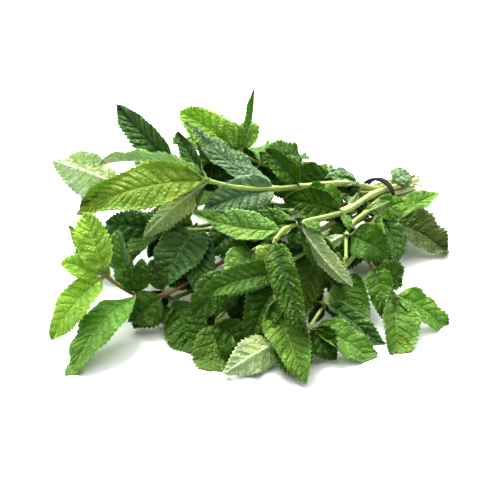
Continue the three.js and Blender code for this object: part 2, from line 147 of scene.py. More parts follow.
def slot_point(slot, ahead):
    return BAND_AT + ACROSS * slot[0] * SLOT + ABOVE * slot[1] * ROW + BUNDLE * ahead


print("middle of the cut ends:", slot_point((0, 0), -CUT_END).round(1))

# %% [markdown]
# ## Colours of the leaves
# Mint on one plant runs from yellow-green young leaves through clear green to a deep blue-green in
# the shade, and every leaf is paler underneath. Two kinds hold painted light: a grey-green with a
# painted sheen, for leaves that face up, and a very dark green on both sides, as painted shade for
# leaves inside the bunch. Each kind of leaf has the colour of its upper side and of its underside,
# how strongly it is quilted, how much light passes through it, and how spotted it is. They are kept
# as plain named values, and written on the mesh leaf by leaf, so one material serves every sprig.

# %% kinds of leaf
@dataclass(frozen=True)
class Kind:
    upper: str
    under: str
    quilt: float = 0.5
    clear: float = 0.2
    spots: float = 0.0


KINDS = {
    # The next kind is darker than a leaf's own green on both sides: painted shade, for leaves deep
    # inside the bunch.
    "inner": Kind("38560f", "60803e", 1.0, 0.08),
    "deep": Kind("42680f", "8caa66", 1.0, 0.12),
    "dark": Kind("4c7024", "9ab678", 1.1, 0.16),
    "teal": Kind("5c844a", "a8c498", 1.5, 0.12),
    # The next kind is a pale grey-green whose whiteness is painted sheen: the light that a leaf
    # facing up reflects, painted into its colour.
    "silver": Kind("7c9c74", "b6ccaa", 1.3, 0.12),
    "mid": Kind("5c8234", "a6c484", 0.8, 0.2),
    "bright": Kind("749e46", "b6d094", 0.8, 0.26),
    "fresh": Kind("84ac54", "c2daa6", 0.8, 0.26),
    "lime": Kind("a4c45a", "cae2a0", 0.9, 0.36),
    "pale": Kind("94b86c", "dcecca", 0.9, 0.34),
    "young": Kind("bad47c", "dcecbc", 1.2, 0.24),
    "spotted": Kind("98b252", "c0d68c", 1.0, 0.3, 1.0),
    "olive": Kind("68883a", "9cae72", 0.6, 0.18),
    "bronze": Kind("586c30", "90a06c", 0.6, 0.1, 0.5),
}


def colour(code):
    """Linear colour of a six-figure code."""
    shares = [int(code[i : i + 2], 16) / 255 for i in (0, 2, 4)]
    return [c / 12.92 if c < 0.04045 else ((c + 0.055) / 1.055) ** 2.4 for c in shares]


print("kinds of leaf:", ", ".join(KINDS))

# %% [markdown]
# ## The sprigs
# A sprig is a stem path and its leaves. A leaf is given by the stem point it grows from, its tip,
# its width, the way its upper side faces, the height of its arch, and its kind. Hidden lower leaves
# come in pairs by rule, as mint grows: opposite each other, each pair turned from the last.

# %% table of sprigs
UP = (0, -2, 9)
FRONT = (0, -6, 6)
UNDER = (0, 6, -7)
LEFT = (-5, -6, 5)
RIGHT = (4, -6, 5)
REAR = (0, 5, 7)


@dataclass
class Sprig:
    slot: tuple
    thick: float
    path: list
    leaves: tuple
    pairs: tuple = ()
    buds: tuple = ()
    stem: tuple = ("c9d39a", "b3c877")
    fill: str = "dark"


SPRIGS = {}


def add_sprig(name, slot, thick, path, *leaves, **more):
    SPRIGS[name] = Sprig(slot, thick, path, leaves, **more)


add_sprig(
    "sprig_top", (0, 2), 3.8,
    [(77, 86, 39), (66, 80, 44), (33, 53, 56), (17, 39, 62), (-6, 29, 68), (-26, 27, 74)],
    (5, (-109, 22, 53), 31, (0, -5, 7), 13, "spotted", 0.2),
    (5, (-98, 50, 75), 22, (0, 4, 8), 6, "pale", 0.9),
    (5, (-67, 10, 43), 18, UNDER, -4, "lime"),
    (5, (-61, 26, 38), 22, FRONT, 3, "olive"),
    (3, (-41, 60, 99), 24, (0, -1, 9), -6, "silver", 0.25),
    (3, (-29, 18, 59), 26, FRONT, 3, "silver"),
    (5, (-46, 62, 91), 14, LEFT, 2, "dark", 0.6),
    (2, (11, 68, 76), 20, (-3, -4, 7), 3, "mid", 0.7),
    (0, (50, 88, 42), 18, (0, -1, 9), 3, "silver", 0.2),
    (BACK, (115, 110, 34), 20, (1, -3, 9), 3, "silver", 0.2),
)
add_sprig(
    "sprig_lime", (1, 2), 2.6,
    [(60, 92, 42), (27, 80, 54), (8, 66, 66), (-6, 64, 75), (-16, 68, 79), (-31, 76, 84)],
    (3, (-47, 87, 95), 27, FRONT, 3, "lime"),
    (4, (-19, 84, 93), 14, FRONT, 2, "lime"),
    (3, (1, 88, 88), 17, FRONT, 2, "fresh"),
    (3, (6, 94, 105), 9, LEFT, -4, "bright", 0.9),
    (3, (-13, 80, 89), 14, FRONT, 2, "bright", 0.5),
    (2, (34, 92, 61), 22, FRONT, 4, "mid"),
    (1, (33, 112, 46), 24, REAR, 4, "mid"),
    (2, (-1, 112, 54), 24, REAR, 4, "bright"),
    (0, (14, 66, 44), 27, FRONT, 3, "deep"),
    (1, (-4, 62, 56), 22, FRONT, 3, "deep"),
    (2, (-29, 68, 61), 24, FRONT, 3, "deep"),
    stem=("b7c66e", "a9c455"),
    buds=(1, 2),
)
add_sprig(
    "sprig_middle", (-1, 2), 3.8,
    [(84, 78, 36), (60, 40, 44), (31, 9, 54), (21, 1, 54), (15, -5, 50)],
    (1, (20, 44, 48), 23, FRONT, 3, "deep"),
    (1, (41, 54, 56), 18, FRONT, 3, "bright", 0.45),
    (2, (-13, 26, 47), 22, FRONT, 4, "mid"),
    (3, (-36, 6, 63), 24, (0, -4, 8), -7, "pale", 0.5),
    (4, (10, -14, 37), 19, FRONT, 4, "young"),
    (4, (19, -14, 39), 8, FRONT, 1, "young"),
    (4, (33, -66, 21), 21, (-1, -7, 3), 6, "deep", 0.6),
    (2, (63, -16, 23), 15, (5, 6, -3), -5, "fresh"),
    (2, (55, -12, 17), 18, FRONT, 4, "mid"),
    (2, (43, 0, 52), 10, (3, -2, 8), 2, "bright", 0.5),
    (1, (64, 22, 41), 7, FRONT, 1, "bright"),
    buds=(2,),
)
add_sprig(
    "sprig_right_middle", (-1.5, 1), 3.2,
    [(77, 56, 34), (67, 38, 37), (62, 22, 38), (60, 2, 32)],
    (2, (88, 10, 29), 26, FRONT, 5, "mid"),
    (3, (42, -6, 29), 18, FRONT, 4, "olive"),
    (2, (43, 12, 32), 9, UNDER, -3, "fresh"),
    (1, (51, 16, 25), 18, FRONT, 3, "deep"),
    buds=(0, 1),
)
add_sprig(
    "sprig_right", (-2, 0), 2.8,
    [(88, 70, 26), (78, 38, 27), (77, 4, 25), (83, -9, 19), (88, -13, 16)],
    (0, (89, 24, 14), 17, (-4, -6, 4), 5, "bright", 0.6),
    (0, (100, 40, 5), 22, RIGHT, 3, "teal"),
    (0, (104, 62, 40), 17, FRONT, 3, "bright"),
    (2, (97, 4, 12), 20, RIGHT, 3, "dark"),
    (2, (85, -28, 5), 20, FRONT, 4, "mid", 0.5),
    (4, (84, -51, -13), 28, (3, -6, 5), 5, "fresh", 0.45),
    (4, (123, -25, -6), 22, UP, 5, "bright"),
    (4, (99, -40, -2), 9, FRONT, 2, "dark"),
    stem=("c3cf94", "a98a5c"),
    buds=(0, 1),
)
add_sprig(
    "sprig_band", (-1, -2), 2.8,
    [(99, 77, 15), (99, 62, 15)],
    (0, (137, 62, -1), 36, (2, -5, 7), 5, "bronze"),
    (0, (133, 108, 23), 18, UP, 3, "fresh"),
)
add_sprig(
    "sprig_left", (1, 0), 2.4,
    [(55, 78, 24), (10, 40, 24), (-28, 0, 24), (-52, -22, 22),
     (-68, -21, 20), (-83, -23, 32), (-87, -24, 37)],
    (6, (-101, 4, 65), 22, FRONT, 4, "lime", 0.35),
    (5, (-113, 10, 52), 12, FRONT, 2, "fresh"),
    (6, (-115, -17, 43), 15, FRONT, 2, "lime"),
    (4, (-106, -73, -9), 27, (-5, -5, 7), 11, "bright"),
    (6, (-118, -42, 1), 26, LEFT, 4, "lime"),
    (4, (-84, 18, 44), 18, LEFT, 3, "mid", 0.45),
    (3, (-73, -30, 7), 22, FRONT, 2, "dark"),
    pairs=(1, 2),
    stem=("a88a60", "9c7f50"),
    buds=(0, 1, 2),
)
add_sprig(
    "sprig_centre_left", (0.5, 1), 3.4,
    [(62, 76, 36), (28, 46, 41), (-5, 42, 32), (-35, 27, 38), (-55, 40, 30)],
    (3, (-57, -16, 24), 33, (-3, -8, 5), 6, "teal", 0.2),
    (4, (-95, 36, 39), 22, LEFT, 4, "teal"),
    (2, (-28, 12, 28), 24, FRONT, 4, "teal"),
    (4, (-74, 4, 24), 22, LEFT, 4, "dark"),
    (3, (-39, -24, 19), 22, FRONT, 4, "teal"),
    pairs=(2,),
    buds=(0, 1, 2, 4),
)
add_sprig(
    "sprig_back_left", (1.5, 1), 3,
    [(54, 94, 38), (12, 84, 52), (-25, 72, 64), (-48, 58, 70), (-61, 54, 69), (-85, 50, 57)],
    (3, (-87, 88, 98), 24, LEFT, 4, "teal", 0.6),
    (5, (-126, 48, 77), 31, UNDER, -4, "pale", 0.2),
    (2, (-54, 112, 60), 24, REAR, 4, "mid"),
    (1, (-15, 120, 45), 26, REAR, 4, "bright"),
    (3, (-80, 96, 51), 26, REAR, 5, "mid"),
    (0, (27, 124, 35), 26, REAR, 5, "dark"),
    (5, (-111, 38, 45), 20, FRONT, 3, "lime"),
    (1, (-33, 58, 52), 26, FRONT, 4, "deep"),
    (2, (-59, 46, 45), 24, FRONT, 4, "deep"),
    buds=(0, 1, 2),
)
add_sprig(
    "sprig_front_left", (-0.5, -1), 3,
    [(60, 60, 20), (22, 16, 20), (-8, -20, 18), (-20, -38, 14)],
    (3, (-23, -68, -14), 26, FRONT, 4, "olive"),
    (3, (0, -58, -3), 22, FRONT, 3, "deep"),
    pairs=(1, 2),
    buds=(0, 1, 2),
)
add_sprig(
    "sprig_under", (0.5, -1), 3,
    [(55, 72, 15), (12, 36, 13), (-26, 4, 12), (-46, -14, 14)],
    (3, (-30, -56, -12), 27, FRONT, 4, "dark"),
    (3, (-72, -32, 6), 22, LEFT, 3, "dark"),
    pairs=(2,),
    buds=(0, 1, 3),
)
add_sprig(
    "sprig_centre", (-0.5, 1), 3,
    [(68, 62, 36), (38, 28, 42), (2, 2, 38), (-5, -18, 34)],
    (2, (-12, -28, 31), 25, FRONT, 3, "pale", 0.35),
    (2, (-17, -8, 41), 17, FRONT, 3, "mid"),
    (3, (-36, -36, 15), 26, FRONT, 5, "dark"),
    (3, (-11, -34, 6), 24, FRONT, 4, "deep"),
    buds=(0, 1),
)
add_sprig(
    "sprig_front", (-1, 0), 3,
    [(76, 60, 28), (44, 18, 33), (18, -14, 33), (14, -34, 25), (22, -52, 12)],
    (2, (-2, -56, 5), 27, FRONT, 5, "deep"),
    (1, (39, -26, 11), 22, FRONT, 3, "olive"),
    (2, (-31, -40, 31), 20, (0, -5, 7), 4, "mid"),
    (4, (30, -76, 1), 25, FRONT, 4, "deep"),
    (3, (32, -80, -2), 27, FRONT, 3, "fresh"),
    (4, (-15, -76, 4), 23, UNDER, -3, "fresh"),
    pairs=(1,),
    buds=(0, 1),
)
add_sprig(
    "sprig_front_right", (-1.5, -1), 2.8,
    [(82, 54, 20), (60, 16, 14), (47, -16, 12), (36, -44, 14)],
    (3, (75, -55, -8), 24, UP, 5, "fresh"),
    (2, (81, -47, 1), 16, (-2, -4, 7), 3, "teal"),
    (1, (61, -44, 3), 24, FRONT, 3, "mid"),
    (3, (54, -58, 2), 20, FRONT, 2, "deep"),
    (0, (60, 30, 6), 22, FRONT, 3, "deep"),
    (0, (98, 20, 0), 20, RIGHT, 3, "dark"),
    pairs=(1,),
    buds=(0, 1, 2, 3),
)
add_sprig(
    "sprig_back", (2, 0), 3,
    [(52, 98, 30), (15, 96, 38), (-25, 90, 44), (-58, 76, 44)],
    (3, (-112, 96, 18), 28, REAR, 5, "mid"),
    (3, (-84, 124, 24), 28, REAR, 5, "bright"),
    pairs=(1, 2),
    fill="mid",
    buds=(0, 1),
)
add_sprig(
    "sprig_back_low", (1.5, -1), 3,
    [(52, 92, 19), (8, 80, 20), (-36, 58, 22), (-70, 42, 24)],
    (3, (-118, 44, 4), 26, LEFT, 5, "dark"),
    (3, (-108, 70, -14), 26, LEFT, 4, "mid"),
    pairs=(1, 2),
    buds=(0, 1, 3),
)
add_sprig(
    "sprig_back_right", (1, -2), 3,
    [(62, 100, 10), (36, 104, 12), (6, 104, 16)],
    (2, (-46, 118, 2), 28, REAR, 4, "mid"),
    (2, (-16, 140, -14), 26, REAR, 4, "bright"),
    (1, (40, 146, -3), 26, REAR, 4, "mid"),
    pairs=(1,),
    fill="mid",
    buds=(0, 1),
)
print("sprigs:", len(SPRIGS))

# %% [markdown]
# ## Growing the leaves
# Small chance differences in fold, twist and waviness keep the leaves from looking stamped. They
# come from one seeded row of random numbers, drawn in the same order as in the solids, so both
# models have the same leaves.

# %% seeded draws
SEED = 41
FOLD = 0.3
FOLD_VARY = (0.6, 1.4)
TWIST = 0.25
WAVE = 1.2
CUT_VARY = 10.0
DRAW_TIMES = 1103515245.0
DRAW_PLUS = 12345.0
DRAW_RANGE = 2147483648.0


class Draws:
    """Seeded random numbers between 0 and 1."""

    def __init__(self, seed):
        self.state = float(seed)

    def next(self):
        self.state = math.fmod(self.state * DRAW_TIMES + DRAW_PLUS, DRAW_RANGE)
        return self.state / DRAW_RANGE

    def between(self, low, high):
        return low + (high - low) * self.next()


@dataclass(frozen=True)
class Leaf:
    base: np.ndarray
    tip: np.ndarray
    wide: float
    face: np.ndarray
    bow: float
    fold: float
    twist: float
    wave: float
    kind: str


def make_leaf(base, tip, wide, face, bow, kind, draws, fold=None):
    chance_fold = FOLD * draws.between(*FOLD_VARY)
    twist = draws.between(-TWIST, TWIST)
    wave = WAVE * draws.next()
    base, tip, face = (np.array(v, float) for v in (base, tip, face))
    fold = chance_fold if fold is None else fold
    return Leaf(base, tip, wide, face, bow, fold, twist, wave, kind)


def stem_point(sprig, at):
    """Place on the stem of a leaf or a pair."""
    return slot_point(sprig.slot, -BACK_LEAF) if at == BACK else np.array(sprig.path[at], float)


print("first random number:", round(Draws(SEED).next(), 4))

# %% [markdown]
# ### Pairs by rule
# Mint's leaves stand opposite each other, and each pair is turned a quarter from the last. The low
# pairs are hardly seen, so a rule places them. The leaves in sight stand in the table instead,
# because a rule can't give each of them the place it has in this bunch.

# %% pairs by rule
PAIR_LONG = 46.0
PAIR_VARY = 12.0
PAIR_WIDE = 0.5
PAIR_SPREAD = 1.1
PAIR_SPREAD_VARY = 0.3
PAIR_TURN = 0.6
PAIR_LEAN = 0.7
PAIR_BOW = 0.1
PAIR_LOWEST = 3.0


def turned(v, axis, angle):
    """v turned about a unit axis, in radians."""
    along = axis * np.sum(axis * v, axis=-1, keepdims=True)
    return along + (v - along) * np.cos(angle) + np.cross(axis, v) * np.sin(angle)


def pair_at(sprig, at, draws):
    base = stem_point(sprig, at)
    forward = unit(base - stem_point(sprig, at - 1))
    level = unit(np.cross([0, 0, 1], forward))
    around = at * math.pi / 2 + PAIR_TURN * draws.next()
    leaves = []
    for half in (0, math.pi):
        long = PAIR_LONG + draws.between(-PAIR_VARY, PAIR_VARY)
        spread = PAIR_SPREAD + draws.between(-PAIR_SPREAD_VARY, PAIR_SPREAD_VARY) / 2
        out = turned(level, forward, around + half)
        tip = base + forward * long * math.cos(spread) + out * long * math.sin(spread)
        tip[2] = max(tip[2], PAIR_LOWEST)
        face = forward + [0, 0, PAIR_LEAN]
        bow = PAIR_BOW * long
        leaves.append(make_leaf(base, tip, long * PAIR_WIDE, face, bow, sprig.fill, draws))
    return leaves


def grow():
    """Every sprig's cut and leaves, as they would grow if nothing were in the way."""
    draws = Draws(SEED)
    cuts = {name: CUT_VARY * draws.next() for name in SPRIGS}
    leaves = {name: [] for name in SPRIGS}
    for name, sprig in SPRIGS.items():
        for at, *shape in sprig.leaves:
            tip, wide, face, bow, kind, *fold = shape
            base = stem_point(sprig, at)
            leaves[name].append(make_leaf(base, tip, wide, face, bow, kind, draws, *fold))
    for name, sprig in SPRIGS.items():
        for at in sprig.pairs:
            leaves[name] += pair_at(sprig, at, draws)
    return cuts, leaves


cuts, grown = grow()
print("leaves grown:", sum(map(len, grown.values())))

# %% [markdown]
# ## The shape of a blade
# A mint leaf is an arched strip folded a little along its midrib, twisted, with edges that roll
# under and wave. One formula gives the point at a share of the length and a distance to the side.
# Sculpting would be freer, but a formula makes hundreds of leaves, and no two of them alike.

# %% blade formula
BLADE = 0.7
STALK = 3.5
STALK_HALF = 0.9
CURL = -0.1
BASE_ROUND = 0.55
TIP_SHARP = 0.85
TWIST_FROM = 0.3


def fullness(share):
    """How full the outline is at a share of the way along: rounded base, then a point."""
    return share**BASE_ROUND * (1 - share) ** TIP_SHARP


FULLEST = fullness(BASE_ROUND / (BASE_ROUND + TIP_SHARP))


def half_width(share, wide):
    return wide / 2 * fullness(np.clip(share, 0, 1)) / FULLEST


def leaf_frame(leaf):
    chord = leaf.tip - leaf.base
    along = unit(chord)
    face = unit(leaf.face - along * (leaf.face @ along))
    return chord, face, np.cross(along, face)


def blade_frame(leaf, s):
    """Middle line of the blade at s, with the directions to its side and upwards."""
    chord, face, side = leaf_frame(leaf)
    s = np.asarray(s, float)[..., None]
    middle = leaf.base + chord * s + face * 4 * leaf.bow * s * (1 - s)
    forward = unit(chord + face * 4 * leaf.bow * (1 - 2 * s))
    across = turned(side, forward, leaf.twist * (s - TWIST_FROM))
    return middle, across, np.cross(across, forward)


print("a blade is widest at", round(BASE_ROUND / (BASE_ROUND + TIP_SHARP), 2), "of its length")

# %% [markdown]
# ## Where each leaf really lies
# In the solids a leaf that would run into another sprig is swung aside about its base, shortened,
# or left out. The packed solid shows what happened: its vertices lie at the teeth of the leaf that
# was placed. So each swing is tried in the same order, until the teeth fall on vertices.

# %% the swings in their order
SWING_STEPS = (0, 5, -5, 10, -10, 16, -16, 24, -24, 34, -34)
SHRINK_STEPS = (1, 0.88, 0.76)
SHRINK_COST = 100
SINK = 14.0


def effort(swing):
    return math.hypot(swing[0], swing[1]) + SHRINK_COST * (1 - swing[2])


SWINGS = sorted(
    ((yaw, pitch, size) for size in SHRINK_STEPS for yaw in SWING_STEPS for pitch in SWING_STEPS),
    key=effort,
)


def swung(leaf, yaw, pitch, size):
    chord, face, side = leaf_frame(leaf)

    def turn(v):
        return turned(turned(v, face, math.radians(yaw)), side, math.radians(pitch))

    tip = leaf.base + turn(chord) * size
    tip[2] = max(tip[2], -SINK)
    return replace(leaf, tip=tip, face=turn(leaf.face), wide=leaf.wide * size)


print("swings to try:", len(SWINGS))

# %% [markdown]
# ### Teeth of the solid leaf
# The solids have a few large teeth a side. Their upper corners are worked out with the same formula
# that made them. A search for the nearest whole shape would need no formula, but it would be slow
# and could settle on a wrong leaf.

# %% tooth corners
FEWEST_TEETH = 3
MORE_TEETH = (36, 60)
TOOTH_OUT = 0.1
TOOTH_LEAN = 0.66
TOOTH_MIDDLE = 0.5
WAVE_TURN = 9


def tooth_corners(leaf):
    """Upper corners of the solid leaf's teeth, where its vertices lie."""
    long = np.linalg.norm(leaf.tip - leaf.base)
    teeth = FEWEST_TEETH + sum(long > limit for limit in MORE_TEETH)
    stalk = STALK / long
    step = (1 - stalk) / teeth
    start = stalk + step * np.arange(1, teeth)
    share = (start + TOOTH_MIDDLE * step - stalk) / (1 - stalk)
    out = np.maximum(STALK_HALF, half_width(share, leaf.wide)) * (1 + TOOTH_OUT)
    s = start + TOOTH_LEAN * step
    middle, across, up = blade_frame(leaf, s)
    wave = leaf.wave * (out * 2 / leaf.wide) ** 2 * np.sin(WAVE_TURN * s + out)
    rise = out * math.sin(leaf.fold) + CURL * out**2 * 2 / leaf.wide + wave
    point = middle + across * (out * math.cos(leaf.fold))[:, None] + up * rise[:, None]
    normal = up * math.cos(leaf.fold) - across * math.sin(leaf.fold)
    low = point[:, 2] < BLADE / 2
    point[low, 2] = BLADE / 2
    normal[low] = np.where(normal[low, 2:] < 0, -1.0, 1.0) * [0, 0, 1]
    corners = point + normal * BLADE / 2
    corners[:, 2] = np.maximum(corners[:, 2], 0)
    return corners


print("corners on the first leaf:", len(tooth_corners(grown["sprig_top"][0])))

# %% [markdown]
# ### Matching
# A tree of a solid's vertices finds the nearest one to a point at once. A leaf is where its teeth
# miss the vertices by less than MATCH millimetres. If no swing does so well, the nearest one below
# ALMOST is taken, and a leaf with none was left out of the solid.

# %% find the swings
MATCH = 0.4
ALMOST = 1.2


def vertex_tree(node):
    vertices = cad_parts[node].data.vertices
    tree = kdtree.KDTree(len(vertices))
    for i, vertex in enumerate(vertices):
        tree.insert(vertex.co, i)
    tree.balance()
    return tree


def miss(tree, leaf):
    """How far the leaf's teeth are from the solid's vertices, in the middle of their order."""
    misses = [tree.find(Vector((c + SHIFT) * MM))[2] / MM for c in tooth_corners(leaf)]
    return sorted(misses)[len(misses) // 2]


def lie(tree, leaf):
    """The leaf as it lies in the solid, or nothing if it was left out."""
    nearest, least = None, ALMOST
    for swing in SWINGS:
        tried = swung(leaf, *swing)
        away = miss(tree, tried)
        if away < MATCH:
            return tried
        if away < least:
            nearest, least = tried, away
    return nearest


def placed(node, leaves):
    tree = vertex_tree(node)
    return [found for leaf in leaves if (found := lie(tree, leaf)) is not None]


leaves = {name: placed(name, grown[name]) for name in SPRIGS}
print("leaves placed:", sum(map(len, leaves.values())))

# %% [markdown]
# ## Small leaves at the joints
# Above each pair of leaves mint starts a side shoot. On a cut sprig it is still two or three small
# leaves, close to the stem. They are too small for the solids, and they fill the dark middle of
# the bunch. Before one is placed, a plain blade of its size is tried against the other sprigs'
# solids, because a leaf gives way where it meets another.

# %% room for a small leaf
BLADE_FROM = 0.15
BLADE_STEPS = 6


def surface_tree(node):
    mesh = node.data
    points = [vertex.co / MM - Vector(SHIFT) for vertex in mesh.vertices]
    return BVHTree.FromPolygons(points, [face.vertices for face in mesh.polygons])


surfaces = {name: surface_tree(node) for name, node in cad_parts.items()}


def crossings(leaf, own):
    """How many faces of the other solids a plain blade of this leaf runs through."""
    s = np.linspace(BLADE_FROM, 1, BLADE_STEPS)
    middle, across, _ = blade_frame(leaf, s)
    half = half_width(s, leaf.wide)[:, None]
    points = np.concatenate([middle - across * half, middle, middle + across * half])
    first = [side * BLADE_STEPS + i for side in (0, 1) for i in range(BLADE_STEPS - 1)]
    faces = [(i, i + 1, i + BLADE_STEPS + 1, i + BLADE_STEPS) for i in first]
    blade = BVHTree.FromPolygons([Vector(point) for point in points], faces)
    return sum(len(blade.overlap(tree)) for name, tree in surfaces.items() if name != own)


print("solids to keep clear of:", len(surfaces))

# %% [markdown]
# ### Side shoots
# The leaves of a shoot stand evenly round the stem. Each is turned aside by up to 45 degrees, or
# made shorter, where that crosses fewer faces. Among ways that are as free, the first is kept.
# Physics could push them apart instead, but it would move the large leaves too.

# %% side shoots
BUD_SEED = 7
BUD_LONG = (11.0, 20.0)
BUD_WIDE = 0.52
BUD_SPREAD = (0.5, 1.0)
BUD_LOWEST = 3.0
BUDS_AT_JOINT = 3
BUD_LEAN = 0.3
BUD_BOW = 0.08
BUD_FOLD = 0.35
BUD_WAVE = 0.3
SHORTER = (1.0, 0.85, 0.7)
SIDESTEPS = (0, 10, -10, 20, -20, 32, -32, 45, -45)


def small_leaf(base, tip, face, kind):
    long = np.linalg.norm(tip - base)
    return Leaf(base, tip, long * BUD_WIDE, face, long * BUD_BOW, BUD_FOLD, 0.0, BUD_WAVE, kind)


def side_shoot(name, at, chance):
    """A few small leaves round one joint of a sprig."""
    sprig = SPRIGS[name]
    base = stem_point(sprig, at)
    forward = unit(base - stem_point(sprig, at - 1)) if at else -BUNDLE
    level = unit(np.cross([0, 0, 1], forward))
    first = chance.uniform(0, 2 * math.pi)
    shoot = []
    for k in range(BUDS_AT_JOINT):
        long = chance.uniform(*BUD_LONG)
        spread = chance.uniform(*BUD_SPREAD)
        # Many small leaves here are of the inner kind, whose dark colour is painted shade for the
        # middle of the bunch.
        kind = str(chance.choice(["inner", "deep", sprig.fill]))
        tried = []
        for size, step in itertools.product(SHORTER, SIDESTEPS):
            out = turned(level, forward, first + 2 * math.pi * k / BUDS_AT_JOINT + math.radians(step))
            way = forward * math.cos(spread) + out * math.sin(spread)
            tip = base + way * long * size
            tip[2] = max(tip[2], BUD_LOWEST)
            tried.append(small_leaf(base, tip, forward - out * BUD_LEAN, kind))
        shoot.append(min(tried, key=lambda leaf: crossings(leaf, name)))
    return shoot


chance = np.random.default_rng(BUD_SEED)
small_leaves = {
    name: [leaf for at in sprig.buds for leaf in side_shoot(name, at, chance)]
    for name, sprig in SPRIGS.items()
}
print("leaves on side shoots:", sum(map(len, small_leaves.values())))

# %% [markdown]
# ### Dark leaves in the thin places
# In a few places one would look through the bunch. There a small dark leaf is placed, from a joint
# of the stem to a tip, as a florist tucks one in.

# %% tucked leaves
TUCKED_FACE = unit([0.1, -1.0, 0.5])
# Most tucked leaves are of the inner kind, whose dark colour is painted shade for the middle of the
# bunch.
TUCKED = {
    "sprig_left": [
        (3, (-61, -10, 39), "inner"),
        (4, (-66, -11, 41), "deep"),
        (4, (-76, -12, 38), "deep"),
        (0, (40, 66, 28), "inner"),
    ],
    "sprig_centre_left": [
        (4, (-67, 28, 17), "inner"),
        (4, (-71, 37, 22), "deep"),
        (4, (-60, 24, 14), "inner"),
    ],
    "sprig_front_left": [
        (0, (52, 44, 24), "inner"),
        (0, (66, 42, 18), "inner"),
        (0, (76, 48, 21), "deep"),
    ],
    "sprig_centre": [(0, (58, 46, 30), "inner")],
    "sprig_top": [(0, (54, 84, 43), "teal"), (0, (68, 72, 36), "inner")],
}
for name, rows in TUCKED.items():
    for at, tip, kind in rows:
        base = stem_point(SPRIGS[name], at)
        small_leaves[name].append(small_leaf(base, np.array(tip, float), TUCKED_FACE, kind))
print("small leaves:", sum(map(len, small_leaves.values())))

# %% [markdown]
# ## A blade as a mesh
# On a real leaf the side veins leave the midrib, run out and forward, and end near the teeth. The
# mesh is a grid whose cross lines follow those veins, so a crease along a vein needs few faces.
# A flat card with a picture would be lighter, but it would have no thickness and no relief.
# The grid has a few rows for the narrow stalk, and then the blade with its teeth.

# %% grid of a blade
VEIN_GAP = 5.6
FEWEST_VEINS = 4
ROWS_PER_VEIN = 8
TEETH_PER_VEIN = 2
HALF_COLUMNS = 10
CROWDING = 1.25
VEIN_SLANT = 0.19
STALK_ROWS = 4
TIP_HALF = 0.12
SMALL_LEAF = 22.0


@dataclass
class Grid:
    veins: int
    row: np.ndarray
    across: np.ndarray
    s: np.ndarray
    x: np.ndarray


def rows_and_columns(long, veins):
    """Rows from -1 at the stem over 0 at the blade to 1 at its tip, columns from -1 to 1."""
    coarser = 2 if long < SMALL_LEAF else 1
    rows = veins * (ROWS_PER_VEIN // coarser)
    stalk = np.linspace(-1, 0, STALK_ROWS, endpoint=False)
    row = np.concatenate([stalk, np.linspace(0, 1, rows + 1)])
    column = np.linspace(-1, 1, 2 * (HALF_COLUMNS // coarser) + 1)
    return np.meshgrid(row, np.sign(column) * np.abs(column) ** CROWDING, indexing="ij")


print("faces on one side of a 56 mm leaf:", 10 * ROWS_PER_VEIN * 2 * HALF_COLUMNS)

# %% [markdown]
# ### Teeth
# Mint's teeth point forward: each rises slowly and drops at once. They are pushed out of the grid's
# edge, with some larger and some smaller, and they fade near the stalk and the tip. Teeth cut out
# by the material's alpha would need fewer faces, but they would have no thickness.

# %% teeth
TOOTH_MM = 1.3
TOOTH_BACK = 0.76
TOOTH_VARY = 0.35
TOOTH_JUMP = 12.9
SIDE_JUMP = 2.0
TOOTH_FADE = 8
TOOTH_EDGE = 6
TOOTH_FORWARD = 0.4
FULL_TEETH = 18.0


def saw(phase):
    part = phase % 1
    return np.where(part < TOOTH_BACK, part / TOOTH_BACK, (1 - part) / (1 - TOOTH_BACK))


def blade_grid(leaf):
    long = np.linalg.norm(leaf.tip - leaf.base)
    stalk = STALK / long
    veins = max(FEWEST_VEINS, round(long / VEIN_GAP))
    row, across = rows_and_columns(long, veins)
    on_blade = np.clip(row, 0, 1)
    out = np.abs(across)
    share = on_blade + VEIN_SLANT * out * 4 * on_blade * (1 - on_blade)
    fade = np.minimum(1, TOOTH_FADE * on_blade * (1 - on_blade))
    teeth = on_blade * veins * TEETH_PER_VEIN
    jump = TOOTH_JUMP * np.floor(teeth) + SIDE_JUMP * (across > 0)
    bigger = 1 + TOOTH_VARY * np.sin(jump + long)
    tooth = saw(teeth) * bigger * fade * out**TOOTH_EDGE * min(1, leaf.wide / FULL_TEETH)
    s = stalk + (1 - stalk) * (share + TOOTH_FORWARD * tooth * TOOTH_MM / long)
    s = np.where(row < 0, stalk * (1 + row), s)
    half = np.maximum(half_width(share, leaf.wide), STALK_HALF * (1 - on_blade) ** 4)
    half = np.maximum(half, TIP_HALF) + tooth * TOOTH_MM
    return Grid(veins, row, across, s, across * half)


print("teeth a side on a 56 mm leaf:", 10 * TEETH_PER_VEIN)

# %% [markdown]
# ## Quilting
# Between its veins the upper side of a mint leaf swells, which gives it the quilted look. The
# underside shows the same pattern turned inside out, with ribs that stand proud. The relief could
# be a bump in the material alone, but real swellings catch the light at every angle.

# %% quilting
CELL = 3.4
CELL_PART = 0.4
CELL_ROUND = 0.8
STRIP_ROUND = 0.7
RIB_FLAT = 0.2
EDGE_FLAT = 0.8
QUILT_SEED = 500


